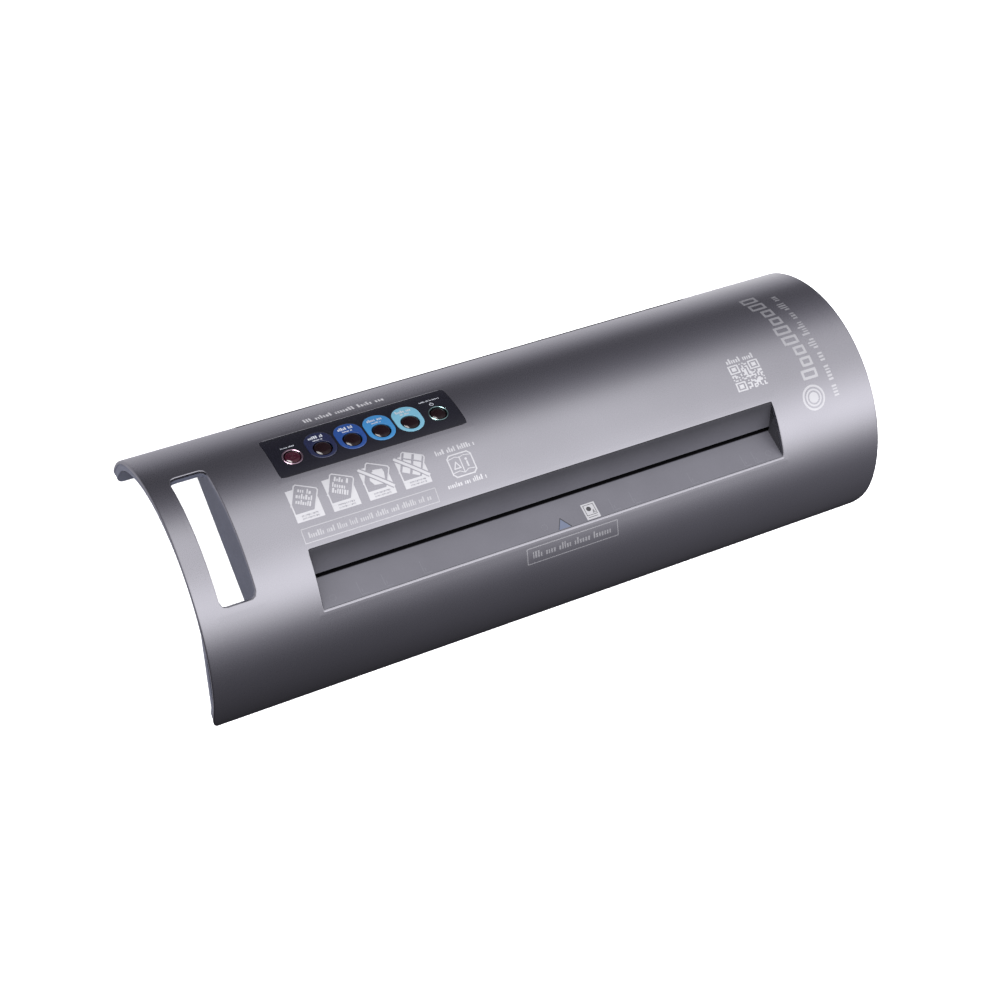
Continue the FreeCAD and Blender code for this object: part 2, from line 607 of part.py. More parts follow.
# ---- heating: two aluminium plates with strip heaters, between the two roller pairs ----
heater_half = 6.5
heat_gap = 1.0
heat_thick = 5.0
heater_outer = heat_gap + heat_thick
for name, way in (("lower", -1), ("upper", 1)):
    near, far = sorted((way * heat_gap, way * heater_outer))
    parts[f"{name}_heater_plate"] = path_bar(heat_s - heater_half, heat_s + heater_half, near, far,
                                             span_x0, span_x1)
strips = []
for way in (-1, 1):
    near, far = sorted((way * heater_outer, way * (heater_outer + 1.2)))
    strips.append(path_bar(heat_s - 5, heat_s + 5, near, far, -165, 120))
parts["heater_strips"] = group(strips)
sensor_x = 140.0
fuse_x = 158.0
normal = Vec(0, math.sin(math.radians(path_angle)), math.cos(math.radians(path_angle)))
sensor_seat = on_path(heat_s, -heater_outer - 5)
parts["thermostat"] = join(Part.makeCylinder(5.5, 5, Vec(sensor_x, *sensor_seat), normal),
                           box(sensor_x - 1, sensor_x + 1, sensor_seat[0] - 6, sensor_seat[0] + 6,
                               sensor_seat[1] - 5, sensor_seat[1] + 1))
fuse_place = on_path(heat_s, -heater_outer - 2)
parts["thermal_fuse"] = rod(1.9, fuse_x - 6, fuse_x + 6, *fuse_place)
shield_n = 18.0
parts["heat_shield"] = join(path_bar(18, 50, shield_n, shield_n + 0.8, sleeve_x0, sleeve_x1),
                            path_bar(18, 18.8, shield_n - 4, shield_n + 0.8, sleeve_x0, sleeve_x1),
                            path_bar(34, 48, shield_n, shield_n + 0.8, span_x0, span_x1))

# ---- coil springs between the upper bushes and the side plates' tabs ----
springs = []
for y, z in (upper_feed, upper_press):
    for x in (span_x0 + bush_reach / 2, span_x1 - bush_reach / 2):
        helix = Part.makeHelix(spring_pitch, spring_pitch * spring_turns, spring_radius)
        turns = [k * math.pi / 4 for k in range(9)]
        section = Part.makePolygon([Vec(spring_radius + wire_radius * math.cos(a), 0, wire_radius * math.sin(a))
                                    for a in turns])
        coil = Part.Wire(helix).makePipeShell([section], True, True)
        coil.translate(Vec(x, y, z + spring_seat + 0.05))
        springs.append(coil)
parts["pressure_springs"] = group(springs)

# ---- power board on the tray ----
pcb_x0 = -150.0
pcb_x1 = -50.0
pcb_z = 11.0
pcb = box(pcb_x0, pcb_x1, -36, 36, pcb_z, pcb_z + 1.6)
stand_spots = [(x, y) for x in (pcb_x0 + 5, pcb_x1 - 5) for y in (-31, 31)]
parts["power_board"] = cut(pcb, *[post(1.6, 0, 20, x, y) for x, y in stand_spots])
parts["board_standoffs"] = group([join(post(3.0, base_z0 + base_floor, pcb_z, x, y),
                                       post(1.5, pcb_z, 13.4, x, y)) for x, y in stand_spots])
top = pcb_z + 1.6
components = [box(-140, -116, -24, 2, top, top + 20), box(-108, -89, -28, -14, top, top + 15),
              box(-108, -89, -8, 6, top, top + 15), box(-82, -60, 8, 20, top, top + 12)]
components += [post(5.0, top, top + 14, x, 20) for x in (-136, -122)]
components += [box(-80, -62, y, y + 8, top, top + 9) for y in (-26, -12)]
parts["board_components"] = group(components)

os.makedirs("parts", exist_ok=True)
for name, shape in parts.items():
    if not shape.isValid():
        print("not valid:", name)
    shape.exportStep(f"parts/{name}.step")
print(len(parts), "nodes")
for name, (y, z) in roller_centres.items():
    print(name, "centre", round(y, 4), round(z, 4))
print("idler", [round(v, 4) for v in idler_centre], "pinion", [round(v, 4) for v in pinion_centre])
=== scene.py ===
import json
import math
import bpy
import bmesh
import numpy as np
from mathutils import Matrix, Vector

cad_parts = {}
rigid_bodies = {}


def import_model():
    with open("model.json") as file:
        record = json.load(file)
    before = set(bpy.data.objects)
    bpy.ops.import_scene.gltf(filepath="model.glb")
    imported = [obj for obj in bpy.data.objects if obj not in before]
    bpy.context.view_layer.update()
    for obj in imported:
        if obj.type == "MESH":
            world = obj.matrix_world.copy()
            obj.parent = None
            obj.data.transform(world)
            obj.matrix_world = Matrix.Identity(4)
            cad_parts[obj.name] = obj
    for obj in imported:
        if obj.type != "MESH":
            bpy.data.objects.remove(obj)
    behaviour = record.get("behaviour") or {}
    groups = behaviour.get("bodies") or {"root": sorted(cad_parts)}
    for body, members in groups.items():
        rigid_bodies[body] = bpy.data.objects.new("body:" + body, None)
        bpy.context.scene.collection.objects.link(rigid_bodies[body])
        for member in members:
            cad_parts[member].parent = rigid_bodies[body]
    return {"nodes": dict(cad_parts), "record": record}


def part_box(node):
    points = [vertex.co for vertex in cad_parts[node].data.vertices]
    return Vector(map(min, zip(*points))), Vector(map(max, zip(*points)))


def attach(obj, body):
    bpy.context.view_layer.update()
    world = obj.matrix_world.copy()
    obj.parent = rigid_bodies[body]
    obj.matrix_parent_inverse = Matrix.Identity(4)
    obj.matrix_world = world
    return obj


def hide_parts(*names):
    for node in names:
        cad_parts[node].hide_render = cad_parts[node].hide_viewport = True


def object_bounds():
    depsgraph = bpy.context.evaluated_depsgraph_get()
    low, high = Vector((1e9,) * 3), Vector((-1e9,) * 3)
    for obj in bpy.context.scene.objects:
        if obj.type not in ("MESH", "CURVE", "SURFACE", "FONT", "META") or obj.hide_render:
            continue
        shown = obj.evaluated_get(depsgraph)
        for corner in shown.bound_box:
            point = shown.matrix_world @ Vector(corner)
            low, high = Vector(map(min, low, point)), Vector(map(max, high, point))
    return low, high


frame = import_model()
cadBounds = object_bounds()
cadNodes = frame["nodes"]
print("frame loaded:", len(cadNodes), "nodes")

mm = 0.001

# the outer arch that every curved piece follows, in metres
arch = {"crestRadius": 95.0 * mm, "crestHalf": math.radians(60.4), "legRadius": 61.25 * mm,
        "footAngle": math.radians(101.7), "wall": 3.0 * mm}
arch["crestZ"] = cadBounds[1][2] - arch["crestRadius"]
arch["legY"] = (arch["crestRadius"] - arch["legRadius"]) * math.sin(arch["crestHalf"])
arch["legZ"] = arch["crestZ"] + (arch["crestRadius"] - arch["legRadius"]) * math.cos(arch["crestHalf"])
arch["crestRun"] = arch["crestRadius"] * arch["crestHalf"]
arch["footRun"] = arch["crestRun"] + arch["legRadius"] * (arch["footAngle"] - arch["crestHalf"])


def archAngle(s):
    # angle from vertical at s along the arch: s over the crest's radius, then over the leg's
    run = np.abs(s)
    crest = np.minimum(run, arch["crestRun"]) / arch["crestRadius"]
    return np.sign(s) * (crest + np.maximum(run - arch["crestRun"], 0) / arch["legRadius"])


def archPlace(x, s, inset=0.0):
    # centre of the arc that s lies on, plus its radius less inset along the arc's normal
    x, s, inset = np.broadcast_arrays(np.asarray(x, float), s, inset)
    angle = archAngle(s)
    onLeg = np.abs(s) > arch["crestRun"]
    radius = np.where(onLeg, arch["legRadius"], arch["crestRadius"]) - inset
    centreY = np.where(onLeg, np.sign(s) * arch["legY"], 0.0)
    centreZ = np.where(onLeg, arch["legZ"], arch["crestZ"])
    return np.stack([x, centreY + radius * np.sin(angle), centreZ + radius * np.cos(angle)], -1)


def runAtY(y, inset=0.0):
    # run along the arch of the crest point that has this y, on the surface moved in by inset
    return math.asin(y / (arch["crestRadius"] - inset)) * arch["crestRadius"]


def runAtZ(z, inset=0.0):
    # run along the rear leg of the point at this height, on the surface moved in by inset
    angle = math.acos((z - arch["legZ"]) / (arch["legRadius"] - inset))
    return arch["crestRun"] + (angle - arch["crestHalf"]) * arch["legRadius"]


def gridLines(stops, step):
    # evenly divided stretches between the stops, none wider than step
    stops = sorted(set(round(v, 7) for v in stops))
    stretches = [np.linspace(a, b, max(1, math.ceil((b - a) / step)) + 1)[:-1]
                 for a, b in zip(stops, stops[1:])]
    return np.concatenate(stretches + [[stops[-1]]])


def sideRun(fraction, along, start, end):
    # along one side of a rounded rectangle, from the middle of one corner arc to the middle of the next.
    # start and end are those arcs' half axes, along the side and across it.
    # The result is the distance along the side and the dip inwards.
    startArc = math.pi * (start[0] + start[1]) / 8
    endArc = math.pi * (end[0] + end[1]) / 8
    straight = along - start[0] - end[0]
    d = fraction * (startArc + straight + endArc)
    turn = math.pi / 4 * (1 - np.clip(d, 0, startArc) / max(startArc, 1e-9))
    after = math.pi / 4 * np.clip(d - startArc - straight, 0, endArc) / max(endArc, 1e-9)
    middle = np.clip(d - startArc, 0, straight)
    place = start[0] * (1 - np.sin(turn)) + middle + end[0] * np.sin(after)
    dip = start[1] * (1 - np.cos(turn)) + end[1] * (1 - np.cos(after))
    return place, dip


def roundedLoop(rect, corners, fractions):
    # closed loop round a rectangle with elliptical corners; fractions share out each side's points
    x0, x1, s0, s1 = rect
    fx, fs = fractions
    a, b, c, d = corners if isinstance(corners, list) else [(corners, corners)] * 4
    p0, d0 = sideRun(fx[:-1], x1 - x0, a, b)
    p1, d1 = sideRun(fs[:-1], s1 - s0, b[::-1], c[::-1])
    p2, d2 = sideRun(1 - fx[:0:-1], x1 - x0, c, d)
    p3, d3 = sideRun(1 - fs[:0:-1], s1 - s0, d[::-1], a[::-1])
    return np.concatenate([np.stack([x0 + p0, s0 + d0], -1), np.stack([x1 - d1, s0 + p1], -1),
                           np.stack([x1 - p2, s1 - d2], -1), np.stack([x0 + d3, s1 - p3], -1)])


def grownCorners(corners, amount):
    # each corner's two half axes, longer by the amount
    corners = corners if isinstance(corners, list) else [(corners, corners)] * 4
    return [(max(a + amount, 1e-5), max(b + amount, 1e-5)) for a, b in corners]


def grown(rect, amount):
    # a rectangle moved outwards by the amount on all four sides
    return (rect[0] - amount, rect[1] + amount, rect[2] - amount, rect[3] + amount)


class MeshParts:
    # gathers grids of points and their four-sided faces, to be welded into one mesh
    def __init__(self):
        self.points = []
        self.faces = []
        self.count = 0

    def grid(self, points, keep=None, flip=False, closed=False):
        # one face between each four neighbours, and one more column that joins the last to the first
        rows, columns = points.shape[:2]
        index = np.arange(rows * columns).reshape(rows, columns) + self.count
        if closed:
            index = np.concatenate([index, index[:, :1]], 1)
        quads = np.stack([index[:-1, :-1], index[:-1, 1:], index[1:, 1:], index[1:, :-1]], -1)
        quads = quads[keep] if keep is not None else quads.reshape(-1, 4)
        self.faces.append(quads[:, ::-1] if flip else quads)
        self.points.append(points.reshape(-1, 3))
        self.count += rows * columns

    def build(self, name, material, weld=2e-6):
        # points that meet are welded and the faces turned outwards
        mesh = bpy.data.meshes.new(name)
        mesh.from_pydata(np.concatenate(self.points).tolist(), [], np.concatenate(self.faces).tolist())
        work = bmesh.new()
        work.from_mesh(mesh)
        bmesh.ops.remove_doubles(work, verts=work.verts, dist=weld)
        bmesh.ops.dissolve_degenerate(work, dist=weld / 2, edges=work.edges)
        loose = [v for v in work.verts if not v.link_faces]
        bmesh.ops.delete(work, geom=loose, context="VERTS")
        bmesh.ops.recalc_face_normals(work, faces=work.faces)
        work.to_mesh(mesh)
        work.free()
        return addPiece(name, mesh, material)


def closedTube(parts, rows):
    # loops of points carried along a path, each end closed by a flat fan to its own centre
    first, last = (np.broadcast_to(row.mean(1, keepdims=True), row.shape) for row in (rows[:1], rows[-1:]))
    parts.grid(np.concatenate([first, rows, last]), closed=True)


# edges that turn by more than this stay sharp
sharpTurn = math.radians(48)


def addPiece(name, mesh, material, smooth=True):
    mesh.materials.clear()
    mesh.materials.append(material)
    mesh.polygons.foreach_set("use_smooth", np.full(len(mesh.polygons), smooth))
    mesh.set_sharp_from_angle(angle=sharpTurn)
    piece = bpy.data.objects.new(name, mesh)
    bpy.context.scene.collection.objects.link(piece)
    return piece


def weighNormals(piece):
    # large faces keep their own shading and the small rounded edges take up the turn
    weigh = piece.modifiers.new("weighNormals", "WEIGHTED_NORMAL")
    weigh.mode = "FACE_AREA"
    weigh.weight = 80
    weigh.keep_sharp = True


def stepped(rect, corners, way, entry):
    # an outline grown by a profile entry's outward step, and further on its front side if the entry says so
    step = entry[0]
    further = entry[2] if len(entry) > 2 else 0.0
    x0, x1, s0, s1 = grown(rect, way * step)
    return (x0, x1, s0 - way * further, s1), grownCorners(corners, way * step)


def curvedShell(name, shell, material):
    # A sheet on the arch with rounded holes, its inner twin, and rims between the two.
    # Each sheet is a grid in x and run with a ring of faces that joins the grid to every rounded outline.
    # Each rim is a short profile of (outward step, depth) carried round an outline.
    # With support, one more ring lies that far along from the grid to the outline, just inside the edge.
    parts = shell.get("extra") or MeshParts()
    margin = shell["margin"]
    outerRect = shell["rect"]
    grid = grown(outerRect, -margin)
    boxes = [grown(hole["rect"], hole.get("margin", margin)) for hole in shell["holes"]]
    xs = gridLines([grid[0], grid[1]] + [v for b in boxes for v in b[:2]], shell["step"])
    ss = gridLines([grid[2], grid[3]] + [v for b in boxes for v in b[2:]], shell["step"])
    midX = (xs[:-1] + xs[1:]) / 2
    midS = (ss[:-1] + ss[1:]) / 2
    keep = np.ones((len(midS), len(midX)), bool)
    for b in boxes:
        keep &= ~((midS[:, None] > b[2]) & (midS[:, None] < b[3]) & (midX > b[0]) & (midX < b[1]))

    def fractionsOf(b):
        fx = xs[(xs > b[0] - 1e-9) & (xs < b[1] + 1e-9)]
        fs = ss[(ss > b[2] - 1e-9) & (ss < b[3] + 1e-9)]
        return (fx - fx[0]) / (fx[-1] - fx[0]), (fs - fs[0]) / (fs[-1] - fs[0])

    def ring(b, rect, radius, inset, flip):
        fractions = fractionsOf(b)
        edge = roundedLoop(b, 0.0, fractions)
        loop = roundedLoop(rect, radius, fractions)
        blend = np.linspace(0, 1, shell["ringRows"] + 1)[:, None, None]
        blend = np.append(blend, [[[shell["support"]]]], 0) if "support" in shell else blend
        blend = np.sort(blend, 0)
        plane = edge * (1 - blend) + loop * blend
        parts.grid(archPlace(plane[..., 0], plane[..., 1], inset), flip=flip, closed=True)

    def rim(b, outline, profile, way):
        fractions = fractionsOf(b)
        rows = []
        for entry in profile:
            depth = entry[1]
            share = min(depth / shell["wall"], 1.0)
            inner = outline.get("innerRect", outline["rect"])
            rect = tuple(a * (1 - share) + c * share for a, c in zip(outline["rect"], inner))
            loop = roundedLoop(*stepped(rect, outline["radius"], way, entry), fractions)
            rows.append(archPlace(loop[:, 0], loop[:, 1], shell["inset"] + depth))
        parts.grid(np.stack(rows), closed=True)

    sheetX, sheetS = np.meshgrid(xs, ss)
    for inset, flip in ((shell["inset"], False), (shell["inset"] + shell["wall"], True)):
        parts.grid(archPlace(sheetX, sheetS, inset), keep, flip)
    outlines = [(grid, dict(shell, holes=None), -1)]
    outlines += [(b, hole, 1) for b, hole in zip(boxes, shell["holes"])]
    for b, outline, way in outlines:
        profile = outline["profile"]
        inner = outline.get("innerRect", outline["rect"])
        below = shell["inset"] + shell["wall"]
        ring(b, *stepped(outline["rect"], outline["radius"], way, profile[0]), shell["inset"], way > 0)
        ring(b, *stepped(inner, outline["radius"], way, profile[-1]), below, way < 0)
        rim(b, outline, profile, way)
    piece = parts.build(name, material)
    weighNormals(piece)
    return piece


def roundedRim(fillet, wall, rows=3):
    # quarter turn at the outer edge, straight wall, quarter turn at the inner edge: (outward step, depth)
    turn = np.linspace(0, math.pi / 2, rows + 1)
    top = [(fillet * (1 - math.sin(a)), fillet * (1 - math.cos(a))) for a in turn]
    return top + [(step, wall - depth) for step, depth in reversed(top)]


def revolved(parts, centre, axis, profile, turns=64):
    # profile points (radius, height) turned about an axis: centre + height * axis + radius * spoke
    axis = np.array(axis, float)
    across = np.cross(axis, (1.0, 0, 0) if abs(axis[0]) < 0.9 else (0, 1.0, 0))
    across /= np.linalg.norm(across)
    other = np.cross(axis, across)
    angle = np.arange(turns) * 2 * math.pi / turns
    spokes = np.cos(angle)[:, None] * across + np.sin(angle)[:, None] * other
    radius, height = np.array(profile).T
    points = np.array(centre) + height[:, None, None] * axis + radius[:, None, None] * spokes
    parts.grid(points, closed=True)


# materials: one speckled finish with a look for each slot, and three of them shaded further
def newMaterial(name):
    material = bpy.data.materials.new(name)
    material.use_nodes = True
    tree = material.node_tree
    tree.nodes.clear()
    shader = tree.nodes.new("ShaderNodeBsdfPrincipled")
    output = tree.nodes.new("ShaderNodeOutputMaterial")
    tree.links.new(shader.outputs["BSDF"], output.inputs["Surface"])
    place = tree.nodes.new("ShaderNodeTexCoord")
    return material, tree, shader, place.outputs["Object"]


def addNoise(tree, place, scale, detail=2.0, stretch=(1, 1, 1)):
    mapping = tree.nodes.new("ShaderNodeMapping")
    mapping.inputs["Scale"].default_value = stretch
    noise = tree.nodes.new("ShaderNodeTexNoise")
    noise.inputs["Scale"].default_value = scale
    noise.inputs["Detail"].default_value = detail
    tree.links.new(place, mapping.inputs["Vector"])
    tree.links.new(mapping.outputs["Vector"], noise.inputs["Vector"])
    return noise.outputs["Fac"]


def addRange(tree, value, low, high, fromLow=0.3, fromHigh=0.7):
    spread = tree.nodes.new("ShaderNodeMapRange")
    spread.inputs["From Min"].default_value = fromLow
    spread.inputs["From Max"].default_value = fromHigh
    spread.inputs["To Min"].default_value = low
    spread.inputs["To Max"].default_value = high
    tree.links.new(value, spread.inputs["Value"])
    return spread.outputs["Result"]


def addBlend(tree, value, colourA, colourB):
    blend = tree.nodes.new("ShaderNodeMix")
    blend.data_type = "RGBA"
    blend.inputs["A"].default_value = (*colourA, 1)
    blend.inputs["B"].default_value = (*colourB, 1)
    tree.links.new(value, blend.inputs["Factor"])
    return blend.outputs["Result"]


def addMaths(tree, operation, a, b):
    step = tree.nodes.new("ShaderNodeMath")
    step.operation = operation
    for socket, value in zip(step.inputs, (a, b)):
        if isinstance(value, float):
            socket.default_value = value
        else:
            tree.links.new(value, socket)
    return step.outputs[0]


def addBump(tree, shader, value, strength, distance):
    bump = tree.nodes.new("ShaderNodeBump")
    bump.inputs["Strength"].default_value = strength
    bump.inputs["Distance"].default_value = distance
    tree.links.new(value, bump.inputs["Height"])
    tree.links.new(bump.outputs["Normal"], shader.inputs["Normal"])


def speckled(name, look):
    # colour varies between two tones, roughness between two values, and a fine grain lifts the surface
    material, tree, shader, place = newMaterial(name)
    broad = addNoise(tree, place, look.get("patchScale", 30), 3.0, look.get("stretch", (1, 1, 1)))
    fine = addNoise(tree, place, look["grainScale"], 2.0, look.get("stretch", (1, 1, 1)))
    tone = tree.nodes.new("ShaderNodeMath")
    tone.operation = "MULTIPLY_ADD"
    tone.inputs[1].default_value = look.get("grainTone", 0.5)
    tree.links.new(fine, tone.inputs[0])
    tree.links.new(addRange(tree, broad, 0.0, 1 - look.get("grainTone", 0.5)), tone.inputs[2])
    colour = addBlend(tree, tone.outputs[0], look["dark"], look["light"])
    tree.links.new(colour, shader.inputs["Base Color"])
    low, high = look["roughness"]
    tree.links.new(addRange(tree, fine, low, high), shader.inputs["Roughness"])
    shader.inputs["Metallic"].default_value = look.get("metallic", 0.0)
    shader.inputs["Specular IOR Level"].default_value = look.get("specular", 0.5)
    shader.inputs["Coat Weight"].default_value = look.get("coat", 0.0)
    shader.inputs["Coat Roughness"].default_value = look.get("coatRoughness", 0.1)
    addBump(tree, shader, fine, look.get("bump", 0.1), look.get("bumpDepth", 0.02) * mm)
    return material


# the feed guide's section as (y, z), the angle that a pouch is fed at, and where painted shade darkens its
# plastic:
# spans reach inwards from the slot's mouth, rise above the pouch's path or lie along the machine
guide = {"front": (-53.8 * mm, 75.2 * mm), "slotHalf": 0.75 * mm, "pathAngle": math.radians(16.0),
         "slot": (-32.2 * mm, 71.6 * mm), "back": -18.4 * mm, "lipLift": 2.4 * mm, "lipNear": 0.06 * mm,
         "mouthReach": (-0.5 * mm, 0.3 * mm), "mouthTop": (2.9 * mm, 3.1 * mm), "mouthShade": 0.97,
         "wallReach": (0.2 * mm, 0.6 * mm), "wallRise": (4.0 * mm, 19.0 * mm), "wallShade": (0.15, 0.62),
         "endX": (171.0 * mm, 171.2 * mm), "endShade": 0.62, "gloss": 0.5}
lensLook = {"roughness": (0.10, 0.16), "grainScale": 300, "bump": 0.01, "coat": 0.3}
printLook = {"grainScale": 1500, "bump": 0.03}
finishes = {
    "cover_paint": {"dark": (0.180, 0.178, 0.192), "light": (0.206, 0.204, 0.220),
                    "roughness": (0.26, 0.31), "grainScale": 2600, "patchScale": 14, "bump": 0.05,
                    "metallic": 1.0},
    "guide_dark": {"dark": (0.012, 0.012, 0.014), "light": (0.020, 0.020, 0.023),
                   "roughness": (0.45, 0.6), "grainScale": 1500, "bump": 0.12, "specular": 0.3},
    "guide_plastic": {"dark": (0.078, 0.077, 0.090), "light": (0.102, 0.101, 0.117),
                      "roughness": (0.42, 0.55), "grainScale": 1500, "bump": 0.12},
    "sticker_white": {"dark": (0.30, 0.30, 0.31), "light": (0.35, 0.35, 0.36),
                      "roughness": (0.40, 0.5), **printLook},
    "faint_mark": {"dark": (0.105, 0.105, 0.120), "light": (0.125, 0.125, 0.142),
                   "roughness": (0.42, 0.5), **printLook},
    "panel_gloss": {"dark": (0.003, 0.003, 0.006), "light": (0.006, 0.006, 0.010),
                    "roughness": (0.10, 0.15), "grainScale": 400, "bump": 0.01, "specular": 0.28},
    "button_black": {"dark": (0.004, 0.0015, 0.002), "light": (0.008, 0.003, 0.004),
                     "roughness": (0.14, 0.18), "grainScale": 300, "bump": 0.01, "specular": 0.10},
    "button_red": {"dark": (0.020, 0.002, 0.006), "light": (0.034, 0.004, 0.011),
                   "roughness": (0.14, 0.18), "grainScale": 300, "bump": 0.01, "specular": 0.14},
    "lens_blue_1": {"dark": (0.002, 0.005, 0.024), "light": (0.004, 0.007, 0.034), **lensLook},
    "lens_blue_2": {"dark": (0.003, 0.026, 0.130), "light": (0.006, 0.040, 0.165), **lensLook},
    "lens_blue_3": {"dark": (0.016, 0.115, 0.270), "light": (0.028, 0.155, 0.330), **lensLook},
    "lens_blue_4": {"dark": (0.085, 0.235, 0.315), "light": (0.125, 0.290, 0.370), **lensLook},
    "ring_metal": {"dark": (0.20, 0.21, 0.22), "light": (0.29, 0.30, 0.31), "roughness": (0.22, 0.32),
                   "grainScale": 500, "metallic": 1.0, "bump": 0.02},
    "circuit_board": {"dark": (0.004, 0.045, 0.018), "light": (0.008, 0.085, 0.035),
                      "roughness": (0.30, 0.45), "grainScale": 700, "bump": 0.1},
    "black_plastic": {"dark": (0.010, 0.010, 0.011), "light": (0.022, 0.022, 0.024),
                      "roughness": (0.40, 0.55), "grainScale": 1400, "bump": 0.15},
    "base_plastic": {"dark": (0.042, 0.046, 0.070), "light": (0.058, 0.064, 0.092),
                     "roughness": (0.45, 0.6), "grainScale": 1400, "bump": 0.15},
    "foot_rubber": {"dark": (0.010, 0.010, 0.010), "light": (0.022, 0.022, 0.022),
                    "roughness": (0.7, 0.9), "grainScale": 1800, "bump": 0.25, "specular": 0.3},
    "plate_steel": {"dark": (0.42, 0.43, 0.44), "light": (0.60, 0.61, 0.62), "roughness": (0.28, 0.42),
                    "grainScale": 220, "metallic": 1.0, "bump": 0.05, "stretch": (1, 1, 6)},
    "bright_steel": {"dark": (0.50, 0.50, 0.51), "light": (0.68, 0.68, 0.69), "roughness": (0.2, 0.32),
                     "grainScale": 400, "metallic": 1.0, "bump": 0.04, "stretch": (8, 1, 1)},
    "roller_steel": {"dark": (0.48, 0.48, 0.49), "light": (0.64, 0.64, 0.65), "roughness": (0.18, 0.3),
                     "grainScale": 300, "metallic": 1.0, "bump": 0.04, "stretch": (10, 1, 1)},
    "sleeve_silicone": {"dark": (0.22, 0.035, 0.015), "light": (0.32, 0.055, 0.022),
                        "roughness": (0.5, 0.65), "grainScale": 900, "bump": 0.12},
    "gear_plastic": {"dark": (0.60, 0.58, 0.50), "light": (0.74, 0.72, 0.63), "roughness": (0.35, 0.5),
                     "grainScale": 900, "bump": 0.08},
    "heater_aluminium": {"dark": (0.55, 0.56, 0.57), "light": (0.72, 0.73, 0.74),
                         "roughness": (0.25, 0.4), "grainScale": 300, "metallic": 1.0, "bump": 0.06,
                         "stretch": (0.1, 4, 4)},
    "heater_mica": {"dark": (0.24, 0.18, 0.09), "light": (0.40, 0.31, 0.17), "roughness": (0.35, 0.6),
                    "grainScale": 500, "bump": 0.1},
    "motor_can": {"dark": (0.40, 0.40, 0.38), "light": (0.56, 0.56, 0.53), "roughness": (0.25, 0.4),
                  "grainScale": 300, "metallic": 1.0, "bump": 0.05, "stretch": (6, 1, 1)},
    "blade_brass": {"dark": (0.55, 0.40, 0.14), "light": (0.72, 0.55, 0.24), "roughness": (0.2, 0.35),
                    "grainScale": 500, "metallic": 1.0, "bump": 0.03, "stretch": (8, 1, 1)},
    "pale_ink": {"dark": (0.30, 0.30, 0.31), "light": (0.36, 0.36, 0.37), "roughness": (0.40, 0.5),
                 **printLook},
    "mark_ink": {"dark": (0.35, 0.35, 0.36), "light": (0.40, 0.40, 0.41), "roughness": (0.34, 0.42),
                 "metallic": 0.7, **printLook},
    "mark_ink_soft": {"dark": (0.27, 0.27, 0.28), "light": (0.32, 0.32, 0.33),
                      "roughness": (0.34, 0.42), "metallic": 0.8, **printLook},
    "white_ink": {"dark": (0.34, 0.36, 0.39), "light": (0.42, 0.44, 0.47), "roughness": (0.35, 0.45),
                  **printLook},
    "black_ink": {"dark": (0.012, 0.012, 0.014), "light": (0.022, 0.022, 0.026),
                  "roughness": (0.35, 0.5), **printLook},
    "arrow_blue": {"dark": (0.075, 0.092, 0.140), "light": (0.095, 0.115, 0.170),
                   "roughness": (0.35, 0.5), "grainScale": 1200, "bump": 0.06},
    "floor_pale": {"dark": (0.86, 0.86, 0.87), "light": (0.90, 0.90, 0.90), "roughness": (0.6, 0.75),
                   "grainScale": 90, "patchScale": 3, "bump": 0.02, "specular": 0.2},
}
materials = {name: speckled(name, look) for name, look in finishes.items()}


def reopened(name):
    # node tree, shader and split Object coordinates of a finish that is shaded further
    tree = materials[name].node_tree
    shader = next(n for n in tree.nodes if n.type == "BSDF_PRINCIPLED")
    place = next(n for n in tree.nodes if n.type == "TEX_COORD").outputs["Object"]
    split = tree.nodes.new("ShaderNodeSeparateXYZ")
    tree.links.new(place, split.inputs["Vector"])
    return tree, shader, split.outputs


def tintColour(tree, shader, tint):
    # what feeds the shader's colour is multiplied by a tint, or by a single value
    scaled = tree.nodes.new("ShaderNodeVectorMath")
    scaled.operation = "MULTIPLY"
    tree.links.new(shader.inputs["Base Color"].links[0].from_socket, scaled.inputs[0])
    tree.links.new(tint, scaled.inputs[1])
    tree.links.new(scaled.outputs[0], shader.inputs["Base Color"])


def paintGuideShade():
    # painted shade: the guide's colour and gloss are darkened inside its slot's mouth, up its rear wall and
    # at its right end under the cover, standing in for the shade there
    tree, shader, axes = reopened("guide_plastic")
    cos, sin = math.cos(guide["pathAngle"]), math.sin(guide["pathAngle"])
    y, z = guide["slot"]

    def along(ky, kz, offset):
        part = addMaths(tree, "MULTIPLY", axes["Y"], ky)
        other = addMaths(tree, "MULTIPLY", axes["Z"], kz)
        return addMaths(tree, "ADD", addMaths(tree, "ADD", part, other), offset)

    inward = along(cos, -sin, z * sin - y * cos)
    above = along(sin, cos, -y * sin - z * cos)
    inMouth = addMaths(tree, "MULTIPLY", addRange(tree, above, 1.0, 0.0, *guide["mouthTop"]),
                       addRange(tree, inward, 0.0, guide["mouthShade"], *guide["mouthReach"]))
    upWall = addMaths(tree, "MULTIPLY", addRange(tree, inward, 0.0, 1.0, *guide["wallReach"]),
                      addRange(tree, above, *guide["wallShade"], *guide["wallRise"]))
    atEnd = addRange(tree, axes["X"], 0.0, guide["endShade"], *guide["endX"])
    keep = addMaths(tree, "SUBTRACT", 1.0, inMouth)
    for part in (upWall, atEnd):
        keep = addMaths(tree, "MULTIPLY", keep, addMaths(tree, "SUBTRACT", 1.0, part))
    tintColour(tree, shader, keep)
    tree.links.new(addMaths(tree, "MULTIPLY", keep, guide["gloss"]), shader.inputs["Specular IOR Level"])


bareCover = {"depth": (2.0 * mm, 2.2 * mm), "tint": (0.34, 0.37, 0.48), "rougher": 0.24}


